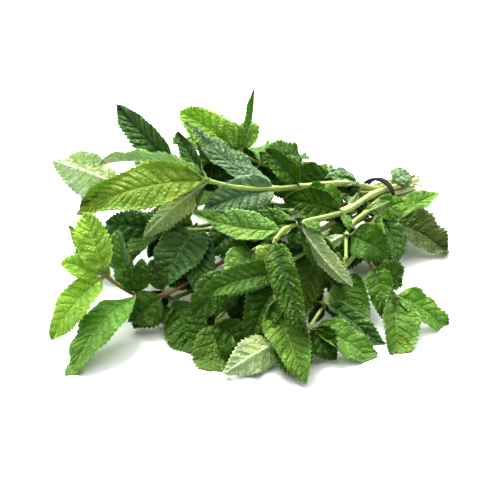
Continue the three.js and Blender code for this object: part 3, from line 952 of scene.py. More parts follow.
def quilt(leaf, grid, seed):
    """Height of the swellings, from 0 at the veins to about 1 between them."""
    rng = np.random.default_rng(QUILT_SEED + seed)
    count = grid.veins * np.clip(grid.row, 0, 1)
    strip = np.minimum(count.astype(int), grid.veins - 1)
    start = rng.uniform(0, 1, (2, grid.veins))[(grid.x > 0).astype(int), strip]
    between = np.abs(np.sin(math.pi * count)) ** STRIP_ROUND
    cell = np.abs(np.sin(math.pi * (np.abs(grid.x) / CELL + start))) ** CELL_ROUND
    share = np.abs(grid.across)
    ends = np.minimum(1, share / RIB_FLAT) * (1 - EDGE_FLAT * share**4) * (grid.row > 0)
    return between * (1 - CELL_PART + CELL_PART * cell) * ends


print("swellings are about", CELL, "by", VEIN_GAP, "mm")

# %% [markdown]
# ## Ruffles, bent tips and rolled edges
# No leaf in a bunch is as even as its formula. Its edges wave, its tip bends back or forward, and an
# edge may roll up. The waves are sums of a few sines with seeded phases. A cloth simulation would
# bend a leaf more truly, but it would carry the leaf away from its solid.

# %% ruffles and rolls
RUFFLES = ((1.0, 2.0, 1.4), (2.6, 4.4, 0.75))
TIP_FROM = 0.7
TIP_BEND = 2.4
TIP_RANGE = (-0.4, 1.0)
ROLL_FROM = 0.7
ROLL_RANGE = (-0.5, 1.2)
ROLL_UNEVEN = 0.6
WIDE_LEAF = 22.0
RUFFLE_SEED = 300
ROLL_SEED = 700


def ruffle(leaf, grid, seed):
    """Rise of the waves along either edge, and of the tip that bends."""
    rng = np.random.default_rng(RUFFLE_SEED + seed)
    rise = np.zeros_like(grid.x)
    for half in (grid.x < 0, grid.x > 0):
        for fewest, most, high in RUFFLES:
            waves = rng.uniform(fewest, most)
            phase = rng.uniform(0, 2 * math.pi)
            rise += half * high * np.sin(2 * math.pi * waves * grid.s + phase)
    rise *= np.abs(grid.across) ** 2 * leaf.wide / WIDE_LEAF
    bend = TIP_BEND * rng.uniform(*TIP_RANGE)
    past = np.clip((grid.s - TIP_FROM) / (1 - TIP_FROM), 0, None)
    return rise - bend * past**2


def rolled(leaf, grid, seed):
    """How strongly each edge rolls up: most edges a little, a few of them much."""
    rng = np.random.default_rng(ROLL_SEED + seed)
    strong = rng.uniform(*ROLL_RANGE, 2)[(grid.x > 0).astype(int)]
    uneven = 1 + ROLL_UNEVEN * np.sin(2 * math.pi * (rng.uniform(1, 2) * grid.s + rng.uniform()))
    edge = np.clip((np.abs(grid.across) - ROLL_FROM) / (1 - ROLL_FROM), 0, 1) ** 2
    return strong * uneven * edge * min(1, leaf.wide / WIDE_LEAF)


print("highest ruffle in mm:", sum(high for *_, high in RUFFLES))

# %% [markdown]
# ## The middle sheet
# Fold, curl, rolls, ruffles and quilting are all heights over the leaf's middle line, so they add
# up. Larger swells follow the place in the bunch and not the leaf's chart, so that no two leaves
# share them. What would sink under the surface that the bunch lies on is eased up to it.

# %% surface of a blade
RELIEF = 0.85
FULL_RELIEF = 20.0
SWELLS = ((15.0, 0.65), (5.0, 0.25))
SWELL_WAVES = 7
SWELL_VARY = (0.7, 1.4)
SWELL_PHASE = 6.28
SWELL_LEVEL = 3
ROLL_UP = 2.3
ROLL_IN = 1.3
LEAF_THIN = 0.42
CLEAR_BELOW = 0.05
LOW_SOFT = 0.8


def unevenness(points, size, seed):
    """Smooth random swells of about the given size, in the range of about -1 to 1."""
    rng = np.random.default_rng(seed)
    total = np.zeros(len(points))
    for _ in range(SWELL_WAVES):
        way = unit(rng.normal(size=3)) * rng.uniform(*SWELL_VARY) / size
        total += np.sin(2 * math.pi * (points @ way) + rng.uniform(0, SWELL_PHASE))
    return total / SWELL_LEVEL


def blade_surface(leaf, grid, seed):
    roll = rolled(leaf, grid, seed)
    grid = replace(grid, x=grid.x - np.sign(grid.x) * ROLL_IN * np.abs(roll))
    out = np.abs(grid.x)
    middle, side, up = blade_frame(leaf, grid.s)
    rise = out * math.sin(leaf.fold) + CURL * out**2 * 2 / leaf.wide + ROLL_UP * roll
    rise += ruffle(leaf, grid, seed)
    small = min(1, leaf.wide / FULL_RELIEF)
    rise += KINDS[leaf.kind].quilt * RELIEF * small * quilt(leaf, grid, seed)
    point = middle + side * (grid.x * math.cos(leaf.fold))[..., None] + up * rise[..., None]
    for size, high in SWELLS:
        lumps = unevenness(point.reshape(-1, 3), size, seed).reshape(rise.shape)
        point += up * (high * small * lumps * np.minimum(1, out / 2))[..., None]
    lowest = LEAF_THIN / 2 + CLEAR_BELOW
    above = (point[..., 2] - lowest) / LOW_SOFT
    point[..., 2] = lowest + LOW_SOFT * np.logaddexp(0, above)
    return point


print("quilting stands up to", RELIEF * max(kind.quilt for kind in KINDS.values()), "mm high")

# %% [markdown]
# ## Thickness
# A blade is under half a millimetre thick and thinner at its edge. Its midrib stands out below, and
# its stalk is nearly round. A Solidify modifier gives one thickness everywhere, so the two sides
# are laid at either side of the middle sheet.

# %% thickness of a blade
EDGE_THIN = 0.5
RIB_THICK = 1.3
RIB_TAPER = 0.8
RIB_HALF = 0.8
STALK_THICK = 1.5
STALK_EDGE = 0.04
LOWEST = 0.02


def grid_normals(points):
    along = np.gradient(points, axis=0)
    across = np.gradient(points, axis=1)
    return unit(np.cross(across, along))


def blade_sides(leaf, seed):
    """The leaf's grid, with the points of its upper and its lower side."""
    grid = blade_grid(leaf)
    sheet = blade_surface(leaf, grid, seed)
    normal = grid_normals(sheet)
    normal *= np.sign(np.sum(normal * blade_frame(leaf, grid.s)[2], axis=-1, keepdims=True))
    out = np.abs(grid.across)
    thin = LEAF_THIN * (1 - EDGE_THIN * out**4)
    taper = 1 - RIB_TAPER * np.clip(grid.row, 0, 1)
    thick = RIB_THICK * taper * np.exp(-((grid.x / RIB_HALF) ** 2))
    on_stalk = grid.row <= 0
    stalk_thick = STALK_THICK * np.sqrt(np.maximum(STALK_EDGE, 1 - out**2))
    above = np.where(on_stalk, stalk_thick / 2, thin / 2)
    below = np.where(on_stalk, stalk_thick / 2, thin / 2 + thick)
    top = sheet + normal * above[..., None]
    bottom = sheet - normal * below[..., None]
    bottom[..., 2] = np.maximum(bottom[..., 2], LOWEST)
    return grid, top, bottom


print("a blade is", LEAF_THIN, "mm thick, and", LEAF_THIN + RIB_THICK, "at the root of its midrib")

# %% [markdown]
# ## Closing a shell
# A piece is made of closed shells: one for each leaf and one for its stem. Every shell is a list of
# points and four-cornered faces, with the values that the materials read painted on the points.
# Booleans could join them into one skin, but they tear where blades are this thin.

# %% shells
LEAF_SKIN, STEM_SKIN, BAND_SKIN = range(3)


@dataclass
class Shell:
    points: np.ndarray
    quads: np.ndarray
    tone: np.ndarray
    chart: np.ndarray
    facts: np.ndarray
    material: int


def plain_shell(skin, quads, tone, chart, material):
    """A shell that carries only its colour and its chart."""
    points = skin.reshape(-1, 3)
    tones = np.broadcast_to(tone, points.shape)
    return Shell(points, quads, tones, chart, np.zeros(points.shape), material)


def chart_of(along, around):
    return np.stack(np.broadcast_arrays(along, around), axis=-1).reshape(-1, 2)


def sheet_quads(rows, columns, start=0):
    i, j = np.meshgrid(np.arange(rows - 1), np.arange(columns - 1), indexing="ij")
    a = start + i * columns + j
    return np.stack([a, a + 1, a + columns + 1, a + columns], axis=-1).reshape(-1, 4)


def rim_quads(rows, columns, lift):
    """Faces that join the rims of two like grids, the second one stored lift points later."""
    first = np.arange(columns)
    last = (rows - 1) * columns + first
    left = np.arange(rows) * columns
    right = left + columns - 1
    loop = np.concatenate([first, right[1:], last[::-1][1:], left[::-1][1:]])
    a, b = loop[:-1], loop[1:]
    return np.stack([b, a, a + lift, b + lift], axis=-1)


print("faces round the rim of a 3 by 3 grid:", len(rim_quads(3, 3, 9)))

# %% [markdown]
# ### A leaf's shell and its painted values
# Each point carries the leaf's own colour, whether it is on the upper side, how spotted it is and
# how much light it lets through. Near the stem the colour runs into the stem's. Painted values let
# one material serve every leaf, where a material for each kind would repeat the same nodes.

# %% leaf shell
SHADE_SEED = 1000
SHADE_VARY = 0.16
ROOT_SHARE = 0.4
ROOT_FADE = 9
ROOT_TINT = 0.7
SPOTS_FROM = 0.45
SPOTS_FADE = 0.3


def leaf_shell(leaf, seed, stem_tone):
    grid, top, bottom = blade_sides(leaf, seed)
    rows, columns = grid.row.shape
    count = rows * columns
    upper_quads = sheet_quads(rows, columns)
    lower_quads = sheet_quads(rows, columns, count)[:, ::-1]
    quads = np.concatenate([upper_quads, lower_quads, rim_quads(rows, columns, count)])
    kind = KINDS[leaf.kind]
    rng = np.random.default_rng(SHADE_SEED + seed)
    shade = 1 + SHADE_VARY * (rng.random() - 0.5)
    near_stem = np.clip(ROOT_SHARE - ROOT_FADE * grid.row, 0, 1)[..., None]
    tones = []
    for code in (kind.upper, kind.under):
        tone = np.array(colour(code)) * shade * (1 - near_stem * ROOT_TINT)
        tones.append((tone + np.array(stem_tone) * near_stem * ROOT_TINT).reshape(-1, 3))
    chart = chart_of(np.clip(grid.row, 0, 1) * grid.veins, grid.across)
    upper = np.repeat([1.0, 0.0], count)
    spots = np.tile(kind.spots * np.clip((grid.row.ravel() - SPOTS_FROM) / SPOTS_FADE, 0, 1), 2)
    facts = np.stack([upper, spots, np.full(2 * count, kind.clear)], axis=-1)
    points = np.concatenate([top.reshape(-1, 3), bottom.reshape(-1, 3)])
    return Shell(points, quads, np.concatenate(tones), np.tile(chart, (2, 1)), facts, LEAF_SKIN)


largest = max(leaves["sprig_top"], key=lambda leaf: leaf.wide)
print("faces of the largest leaf:", len(leaf_shell(largest, 1, colour("c9d39a")).quads))

# %% [markdown]
# ## A smooth path
# Stems bend in gentle curves. A curve is laid through a stem's points, and then cut into even steps.
# The directions to its side turn as little as they can, so that the square section doesn't twist.
# Blender's own curves do the same, but here the points are needed to place swellings and hairs.

# %% a smooth path
CURVE_STEPS = 40


def between(t, start, end, a, b):
    """On the line that is at a when t is start, and at b when t is end."""
    return (end - t) / (end - start) * a + (t - start) / (end - start) * b


def catmull(points, count):
    """Centripetal Catmull-Rom curve through the points, sampled evenly by length."""
    points = np.array(points, float)
    ends = [2 * points[0] - points[1], 2 * points[-1] - points[-2]]
    p = np.vstack([ends[0], points, ends[1]])
    samples = []
    for p0, p1, p2, p3 in zip(p, p[1:], p[2:], p[3:]):
        t0 = 0.0
        gaps = [math.sqrt(np.linalg.norm(b - a)) for a, b in ((p0, p1), (p1, p2), (p2, p3))]
        t1, t2, t3 = np.cumsum(gaps)
        t = np.linspace(t1, t2, CURVE_STEPS, endpoint=False)[:, None]
        a1, a2 = between(t, t0, t1, p0, p1), between(t, t1, t2, p1, p2)
        a3 = between(t, t2, t3, p2, p3)
        b1, b2 = between(t, t0, t2, a1, a2), between(t, t1, t3, a2, a3)
        samples.append(between(t, t1, t2, b1, b2))
    dense = np.vstack([*samples, points[-1:]])
    length = np.concatenate([[0], np.cumsum(np.linalg.norm(np.diff(dense, axis=0), axis=1))])
    even = np.linspace(0, length[-1], count)
    return np.stack([np.interp(even, length, dense[:, i]) for i in range(3)], axis=-1), length[-1]


def path_frames(points):
    """Directions to the side and upwards that turn as little as possible along a path."""
    ways = unit(np.gradient(points, axis=0))
    normal = np.zeros(3)
    normal[np.argmin(np.abs(ways[0]))] = 1
    side = unit(np.cross(ways[0], np.cross(ways[0], normal)))
    sides = [side]
    for way in ways[1:]:
        side = unit(side - way * (side @ way))
        sides.append(side)
    sides = np.array(sides)
    return sides, np.cross(ways, sides)


print("length of the top stem in mm:", round(catmull(SPRIGS["sprig_top"].path, 2)[1]))

# %% [markdown]
# ## Tubes
# A stem, a withered stalk and the band are all tubes: a ring of points swept along a path. A stem's
# and a stalk's ends are closed with four-cornered faces, laid across the ring like the rungs of a
# ladder. One many-sided face would close an end too, but such faces shade less evenly.

# %% tubes
def tube_quads(rings, sides):
    i, j = np.meshgrid(np.arange(rings - 1), np.arange(sides), indexing="ij")
    a = i * sides + j
    b = i * sides + (j + 1) % sides
    return np.stack([a, b, b + sides, a + sides], axis=-1).reshape(-1, 4)


def cap_quads(start, sides):
    i = np.arange(sides // 2 - 1)
    return start + np.stack([i, i + 1, sides - 2 - i, sides - 1 - i], axis=-1)


def tube(line, angle, half):
    """Rings of points round a line, and the faces that close them. Half is its half width."""
    sides, ups = path_frames(line)
    ring = sides[:, None] * np.cos(angle)[:, None] + ups[:, None] * np.sin(angle)[:, None]
    rings, count = len(line), len(angle)
    last = (rings - 1) * count
    walls = tube_quads(rings, count)[:, ::-1]
    quads = np.concatenate([walls, cap_quads(0, count), cap_quads(last, count)[:, ::-1]])
    return line[:, None] + ring * half[..., None], quads


print("faces of a tube with 3 rings of 8:", len(tube_quads(3, 8)) + 2 * len(cap_quads(0, 8)))

# %% [markdown]
# ## Hairs
# Fine short hairs cover a mint stem and give it a soft outline. Each is a thin tapered rod of six
# faces, with its foot under the skin. A particle system would be easier to comb, but it isn't mesh
# until it is converted.

# %% hairs
STEM_STEP = 1.6
HAIRS_PER_MM = 0.9
HAIR_LONG = (0.6, 1.2)
HAIR_HALF = 0.045
HAIR_POINT = 0.25
HAIR_LEAN = (0.1, 0.9)
HAIR_COLOUR = "dfe8c4"
HAIR_SEED = 1100
HAIR_CORNERS = ((-1, -1), (1, -1), (1, 1), (-1, 1))
HAIR_FACES = [(3, 2, 1, 0), (4, 5, 6, 7), (0, 1, 5, 4), (1, 2, 6, 5), (2, 3, 7, 6), (3, 0, 4, 7)]


def hair_shell(line, skin, seed):
    """Short hairs that stand on a stem's skin and lean towards its tip."""
    rng = np.random.default_rng(HAIR_SEED + seed)
    rings, sides = skin.shape[:2]
    count = round(rings * STEM_STEP * HAIRS_PER_MM)
    ring = rng.integers(1, rings - 1, count)
    foot = skin[ring, rng.integers(0, sides, count)]
    out = unit(foot - line[ring])
    way = unit(line[ring + 1] - line[ring - 1])
    lean = unit(out + way * rng.uniform(*HAIR_LEAN, (count, 1)))
    across = unit(np.cross(lean, way))
    third = np.cross(lean, across)
    top = foot + lean * rng.uniform(*HAIR_LONG, (count, 1))
    points = []
    for middle, half in ((foot - out * HAIR_HALF, HAIR_HALF), (top, HAIR_HALF * HAIR_POINT)):
        points += [middle + across * a * half + third * b * half for a, b in HAIR_CORNERS]
    points = np.stack(points, axis=1)
    quads = (np.array(HAIR_FACES)[None] + 8 * np.arange(count)[:, None, None]).reshape(-1, 4)
    chart = np.zeros((8 * count, 2))
    return plain_shell(points, quads, colour(HAIR_COLOUR), chart, STEM_SKIN)


print("hairs on 100 mm of stem:", round(100 * HAIRS_PER_MM))

# %% [markdown]
# ## Stems
# A mint stem is square with rounded corners, and it swells where a pair of leaves grows. A curve
# object with a bevel could sweep it too, but it couldn't swell at the joints or taper to the tip.

# %% stem shells
STEM_SIDES = 16
SQUARENESS = 4.0
SWELL = 0.28
SWELL_LONG = 2.4
TAPER = 0.35
LEAFY_FROM = 0.45


def stem_route(sprig, cut):
    back = [slot_point(sprig.slot, ahead) for ahead in (cut - CUT_END, -BEFORE_BAND, AFTER_BAND)]
    return [*back, *[np.array(p, float) for p in sprig.path]]


def square_ring(angle):
    """How far out a rounded square reaches at each angle."""
    sides = np.abs(np.cos(angle)) ** SQUARENESS + np.abs(np.sin(angle)) ** SQUARENESS
    return sides ** (-1 / SQUARENESS)


def stem_shells(sprig, cut, seed):
    route = stem_route(sprig, cut)
    rings = round(catmull(route, 2)[1] / STEM_STEP)
    line, long = catmull(route, rings)
    along = np.linspace(0, long, rings)
    leafy = long * LEAFY_FROM
    width = np.full(rings, sprig.thick / 2)
    width *= 1 - TAPER * np.clip((along - leafy) / (long - leafy), 0, 1)
    for point in sprig.path:
        near = np.linalg.norm(line - point, axis=1)
        width *= 1 + SWELL * np.exp(-((near / SWELL_LONG) ** 2))
    angle = 2 * math.pi * (np.arange(STEM_SIDES) + 0.5) / STEM_SIDES
    skin, quads = tube(line, angle, width[:, None] * square_ring(angle))
    start, end = (np.array(colour(code)) for code in sprig.stem)
    share = (along / long)[:, None, None] * np.ones((rings, STEM_SIDES, 1))
    tone = (start * (1 - share) + end * share).reshape(-1, 3)
    chart = chart_of(along[:, None], angle[None, :])
    return [plain_shell(skin, quads, tone, chart, STEM_SKIN), hair_shell(line, skin, seed)]


shells = stem_shells(SPRIGS["sprig_top"], cuts["sprig_top"], 0)
print("faces of the top stem and of its hairs:", [len(shell.quads) for shell in shells])

# %% [markdown]
# ## Withered stalks
# Near the cut ends the lowest leaves have been stripped, and a few of their stalks are left, thin,
# brown and curled. Each is a tube on a widening curl, which starts inside its stem. A row gives the
# place along the stem, how far the stalk reaches, half its thickness, and its colour.

# %% withered stalks
STRAND_SIDES = 8
STRAND_RINGS = 26
STRAND_SEED = 900
CURLS = 1.3
CURL_WIDE = 0.16
CURL_REACH = 0.9
ROOT_WIDER = 1.2
TIP_THINNER = 0.8
KNOBS = 3
KNOB_HIGH = 0.3
STRAND_CHART = 12
STRANDS = {
    "sprig_lime": [(-26, (7, -3, 11), 0.55, "8a6a3c"), (-30, (3, 6, 9), 0.5, "b59a63")],
    "sprig_top": [(-33, (9, -6, 7), 0.6, "6f5630"), (-24, (12, 2, 5), 0.45, "93743f")],
    "sprig_middle": [(-31, (11, -8, -3), 0.6, "c8b888")],
}


def strand_shell(start, reach, half, code, seed):
    """A thin curled stalk from a stem's middle to a reach away from it."""
    rng = np.random.default_rng(STRAND_SEED + seed)
    share = np.linspace(0, 1, STRAND_RINGS)[:, None]
    reach = np.array(reach, float)
    side = unit(np.cross(reach, rng.normal(size=3)))
    over = unit(np.cross(side, reach))
    turn = share * CURLS * 2 * math.pi
    sway = np.linalg.norm(reach) * CURL_WIDE * share
    straight = start + reach * share**CURL_REACH
    line = straight + side * sway * np.sin(turn) + over * sway * (1 - np.cos(turn))
    angle = 2 * math.pi * np.arange(STRAND_SIDES) / STRAND_SIDES
    width = half * (ROOT_WIDER - TIP_THINNER * share) * (1 + KNOB_HIGH * np.sin(turn * KNOBS))
    skin, quads = tube(line, angle, width)
    chart = chart_of(share * STRAND_CHART, angle[None, :])
    return plain_shell(skin, quads, colour(code), chart, STEM_SKIN)


print("withered stalks:", sum(map(len, STRANDS.values())))

# %% [markdown]
# ## Band
# The band is a thin dark elastic cord, closed on itself after two turns. Its rings stand square to
# the loop, and the last one joins the first. A curve with a round bevel would do as well, but a
# twist at its seam would show in the ribs.

# %% band shell
STRAND_HALF = 1.05
BAND_SIDES = 12
BAND_RINGS = 260


def band_shell():
    angle = np.linspace(0, 4 * math.pi, BAND_RINGS, endpoint=False)
    line = band_point(angle)
    ways = unit(np.roll(line, -1, axis=0) - np.roll(line, 1, axis=0))
    out = unit(line - BAND_AT)
    out = unit(out - ways * np.sum(out * ways, axis=1, keepdims=True))
    side = np.cross(ways, out)
    around = 2 * math.pi * np.arange(BAND_SIDES) / BAND_SIDES
    ring = out[:, None] * np.cos(around)[:, None] + side[:, None] * np.sin(around)[:, None]
    skin = line[:, None] + ring * STRAND_HALF
    quads = tube_quads(BAND_RINGS + 1, BAND_SIDES) % (BAND_RINGS * BAND_SIDES)
    chart = chart_of((angle * BAND_RADIUS)[:, None], around[None, :])
    return plain_shell(skin, quads, (0.0, 0.0, 0.0), chart, BAND_SKIN)


print("faces of the band:", len(band_shell().quads))

# %% [markdown]
# ## Joining shells into a piece
# One mesh object stands for one sprig, as it grew. The colours go on as a colour attribute, the
# other painted values as a vector attribute, and the chart as a UV map, because those are what a
# material can read.

# %% mesh of a piece
def join_shells(name, shells, materials):
    def joined(field):
        return np.concatenate([getattr(shell, field) for shell in shells])

    counts = np.cumsum([0] + [len(shell.points) for shell in shells])
    points = (joined("points") + SHIFT) * MM
    quads = np.concatenate([shell.quads + count for shell, count in zip(shells, counts)])
    mesh = bpy.data.meshes.new(name)
    mesh.from_pydata(points, [], quads)
    used = sorted({shell.material for shell in shells})
    for index in used:
        mesh.materials.append(materials[index])
    slots = [np.full(len(shell.quads), used.index(shell.material)) for shell in shells]
    mesh.polygons.foreach_set("material_index", np.concatenate(slots).astype(np.int32))
    mesh.polygons.foreach_set("use_smooth", np.ones(len(quads), bool))
    tone = np.concatenate([joined("tone"), np.ones((len(points), 1))], axis=1).ravel()
    facts = joined("facts").ravel()
    chart = joined("chart")[quads.ravel()].ravel()
    mesh.attributes.new("tone", "FLOAT_COLOR", "POINT").data.foreach_set("color", tone)
    mesh.attributes.new("facts", "FLOAT_VECTOR", "POINT").data.foreach_set("vector", facts)
    mesh.uv_layers.new(name="chart").uv.foreach_set("vector", chart)
    mesh.validate()
    piece = bpy.data.objects.new(name, mesh)
    bpy.context.scene.collection.objects.link(piece)
    return piece


print("pieces to make:", len(SPRIGS) + 1)

# %% [markdown]
# ## Shader arithmetic
# Patterns are easier to read as sums than as boxes and wires. This small class wraps a node's output
# so that ordinary Python operators add the Math nodes. Colours go through Mix nodes instead,
# because a Math node would turn them grey.

# %% sockets with operators
class Socket:
    """A value in a material. Operators on it add Math nodes."""

    def __init__(self, tree, output=None):
        self.tree = tree
        self.output = output

    def node(self, kind, settings=None, inputs=None, out=0):
        """Adds a node of any type: first its settings, then its inputs' values or links."""
        made = self.tree.nodes.new(kind)
        for name, value in (settings or {}).items():
            setattr(made, name, value)
        for name, value in (inputs or {}).items():
            if isinstance(value, Socket):
                self.tree.links.new(value.output, made.inputs[name])
            else:
                made.inputs[name].default_value = value
        return Socket(self.tree, made.outputs[out] if made.outputs else None)

    def also(self, out):
        """Another output of the same node."""
        return Socket(self.tree, self.output.node.outputs[out])

    def math(self, operation, *values):
        return self.node("ShaderNodeMath", {"operation": operation}, dict(enumerate(values)))

    def __add__(self, other):
        return self.math("ADD", self, other)

    def __radd__(self, other):
        return self.math("ADD", other, self)

    def __sub__(self, other):
        return self.math("SUBTRACT", self, other)

    def __rsub__(self, other):
        return self.math("SUBTRACT", other, self)

    def __mul__(self, other):
        return self.math("MULTIPLY", self, other)

    def __rmul__(self, other):
        return self.math("MULTIPLY", other, self)

    def ramp(self, low, high):
        """0 below low, 1 above high, and smooth between. High may be less than low."""
        down = high < low
        edges = (high, low) if down else (low, high)
        made = self.node(
            "ShaderNodeMapRange",
            {"interpolation_type": "SMOOTHSTEP"},
            {"Value": self, "From Min": edges[0], "From Max": edges[1]},
        )
        return 1 - made if down else made

    def mix(self, a, b):
        """The colour a where this value is 0, and b where it is 1."""
        return self.node("ShaderNodeMix", {"data_type": "RGBA"}, {0: self, 6: a, 7: b}, out=2)


print("operators:", [name for name in vars(Socket) if name.startswith("__r")])

# %% [markdown]
# ### Helpers for materials
# Every material starts empty and ends in one output. The helpers name what is done often, such as
# reading a painted value or multiplying a colour by a fixed tint.

# %% helpers for materials
def new_material(name):
    material = bpy.data.materials.new(name)
    material.use_nodes = True
    material.node_tree.nodes.clear()
    return material, Socket(material.node_tree)


def painted(start, name, out="Color"):
    return start.node("ShaderNodeAttribute", {"attribute_name": name}, out=out)


def chart_map(start):
    return start.node("ShaderNodeUVMap", {"uv_map": "chart"})


def split(vector):
    return vector.node("ShaderNodeSeparateXYZ", None, {0: vector})


def tinted(tone, tint):
    """A colour multiplied by a fixed tint."""
    settings = {"data_type": "RGBA", "blend_type": "MULTIPLY"}
    return tone.node("ShaderNodeMix", settings, {0: 1.0, 6: tone, 7: tint}, out=2)


def noise(place, size, detail=2.0):
    return place.node("ShaderNodeTexNoise", None, {"Vector": place, "Scale": size, "Detail": detail})


def bumped(height, deep, strength):
    inputs = {"Height": height, "Distance": deep, "Strength": strength}
    return height.node("ShaderNodeBump", None, inputs)


def skin_of(start, inputs):
    return start.node("ShaderNodeBsdfPrincipled", None, inputs)


def show(start, surface):
    start.node("ShaderNodeOutputMaterial", None, {"Surface": surface})


print("materials so far:", len(bpy.data.materials))

# %% [markdown]
# ## Pattern of a leaf
# The pattern comes from the leaf's own chart: one direction counts veins along the leaf, the other
# runs from edge to edge. So a stripe at every whole number is a side vein, and one at the middle is
# the midrib. The fine net between the veins is a Voronoi pattern's cell walls.

# %% pattern of a leaf
WOBBLE_SIZE = 260.0
WOBBLE = 0.22
NET_SIZE = 350.0
CLOUD_SIZE = 75.0
INSIDE = (1.0, 0.7)
SIDE_VEIN = (0.1, 0.0)
VALLEY = (0.28, 0.03)
MIDRIB = (0.08, 0.02)
RIM = (0.9, 1.0)
DOME = (0.0, 0.4)
NET_LINE = (0.13, 0.0)


@dataclass
class Pattern:
    place: Socket
    upper: Socket
    across: Socket
    side_vein: Socket
    valley: Socket
    midrib: Socket
    rim: Socket
    dome: Socket
    net_line: Socket
    cloud: Socket


def leaf_pattern(start, upper):
    veins = split(chart_map(start))
    across = start.math("ABSOLUTE", veins.also(1))
    place = start.node("ShaderNodeTexCoord", out="Object")
    wobbly = veins + (noise(place, WOBBLE_SIZE) - 0.5) * WOBBLE
    phase = start.math("PINGPONG", wobbly, 0.5)
    inside = across.ramp(*INSIDE)
    net = start.node(
        "ShaderNodeTexVoronoi", {"feature": "DISTANCE_TO_EDGE"}, {"Vector": place, "Scale": NET_SIZE}
    )
    return Pattern(
        place,
        upper,
        across,
        side_vein=phase.ramp(*SIDE_VEIN) * inside,
        valley=phase.ramp(*VALLEY) * inside,
        midrib=across.ramp(*MIDRIB),
        rim=across.ramp(*RIM),
        dome=net.ramp(*DOME),
        net_line=net.ramp(*NET_LINE),
        cloud=noise(place, CLOUD_SIZE, 3.0),
    )


print("cells of the net are about", round(1 / NET_SIZE / MM, 1), "mm wide")

# %% [markdown]
# ## Colour of a leaf
# Real leaves are never one green. Broad patches are yellower, some clouds are darker, and the veins
# and the midrib are paler. Shade and light are painted on as well: painted shade darkens the valleys
# along the veins and the net, and a painted highlight lightens the tops of the swellings and the
# rim. Each step mixes the colour so far with a tint of it by one mask.

# %% colour of a leaf
# LIGHTER gives the paler veins and midrib, which are the leaf's own colour, and also the painted
# highlights on the swellings and the rim. DARKER gives random darker clouds, and also the painted
# shade in the valleys and the net.
LIGHTER = (1.75, 1.45, 2.0, 1.0)
DARKER = (0.46, 0.53, 0.44, 1.0)
YELLOWER = (1.35, 1.08, 0.7, 1.0)
BROWN = (0.085, 0.045, 0.015, 1.0)
PATCH = (0.45, 0.75)
CLOUD_DARK = (0.5, 0.3)
CLOUD_LIGHT = (0.4, 0.7)
SPOT = (0.56, 0.63)
OFF_MIDRIB = (0.1, 0.5)
PATCH_SIZE = 38.0
SPOT_SIZE = 120.0
PATCHY = 0.7
CLOUDY = 0.5
VALLEY_PAINTED_SHADE = 0.55
NET_PAINTED_SHADE = 0.45
DOME_PAINTED_HIGHLIGHT = 0.45
VEIN_LIGHT = 0.9
UPPER_VEIN_LESS = 0.35
MIDRIB_LIGHT = 0.75
RIM_PAINTED_HIGHLIGHT = 0.85


def leaf_colour(tone, spots, leaf):
    lighter = tinted(tone, LIGHTER)
    darker = tinted(tone, DARKER)
    patch = noise(leaf.place, PATCH_SIZE, 1.0)
    shade = (patch.ramp(*PATCH) * PATCHY).mix(tone, tinted(tone, YELLOWER))
    shade = (leaf.cloud.ramp(*CLOUD_DARK) * CLOUDY).mix(shade, darker)
    # Painted shade: the valleys along the side veins and the lines of the net are darkened, as if
    # shade fell in these creases.
    shade = (leaf.valley * VALLEY_PAINTED_SHADE).mix(shade, darker)
    shade = (leaf.net_line * NET_PAINTED_SHADE).mix(shade, darker)
    # Painted highlight: the tops of the swellings are lightened, as if light fell on them.
    shade = (leaf.dome * leaf.cloud.ramp(*CLOUD_LIGHT) * DOME_PAINTED_HIGHLIGHT).mix(shade, lighter)
    side_vein = leaf.side_vein * (VEIN_LIGHT - leaf.upper * UPPER_VEIN_LESS)
    shade = tone.math("MAXIMUM", side_vein, leaf.midrib * MIDRIB_LIGHT).mix(shade, lighter)
    # Painted highlight along the rim, where a curled edge would catch the light.
    shade = (leaf.rim * RIM_PAINTED_HIGHLIGHT).mix(shade, lighter)
    blot = noise(leaf.place, SPOT_SIZE, 4.0).ramp(*SPOT)
    return (blot * spots * leaf.across.ramp(*OFF_MIDRIB)).mix(shade, BROWN)


print("layers of colour: patches, clouds, valleys, net, swellings, veins, rim, spots")

# %% [markdown]
# ## Surface of a leaf
# The fine relief is a bump, turned over for the underside, where the veins stand out. Leaves have a
# soft waxy gloss and a slight sheen of down. Light passes through them, so part of the surface is a
# shader that glows when lit from behind. Subsurface scattering would be truer, but it needs many
# more samples before it is free of noise.

# %% leaf material
GLOW = (0.46, 0.8, 0.1, 1.0)
GRAIN_SIZE = 1500.0
DOME_HIGH = 0.8
VEIN_DEEP = 0.7
GRAIN_HIGH = 0.12
LEAF_BUMP = 0.0007
LEAF_ROUGH = 0.55
UPPER_GLOSS = 0.13
ROUGH_VARY = 0.2


def leaf_material():
    material, start = new_material("mint_leaf_green")
    facts = split(painted(start, "facts", "Vector"))
    upper, spots, clear = facts, facts.also(1), facts.also(2)
    leaf = leaf_pattern(start, upper)
    height = leaf.dome * DOME_HIGH + (1 - leaf.side_vein) * VEIN_DEEP + (1 - leaf.midrib) * VEIN_DEEP
    height = (height + noise(leaf.place, GRAIN_SIZE) * GRAIN_HIGH) * (upper * 2 - 1)
    finish = {
        "Base Color": leaf_colour(painted(start, "tone"), spots, leaf),
        "Roughness": LEAF_ROUGH - upper * UPPER_GLOSS + (leaf.cloud - 0.5) * ROUGH_VARY,
        "Normal": bumped(height, LEAF_BUMP, 1.0),
        "IOR": 1.45,
        "Specular Tint": (0.85, 1.0, 0.7, 1.0),
        "Specular IOR Level": 0.45,
        "Sheen Weight": 0.25,
        "Sheen Roughness": 0.4,
    }
    through = start.node("ShaderNodeBsdfTranslucent", None, {"Color": GLOW})
    surface = skin_of(start, finish)
    show(start, start.node("ShaderNodeMixShader", None, {0: clear, 1: surface, 2: through}))
    return material


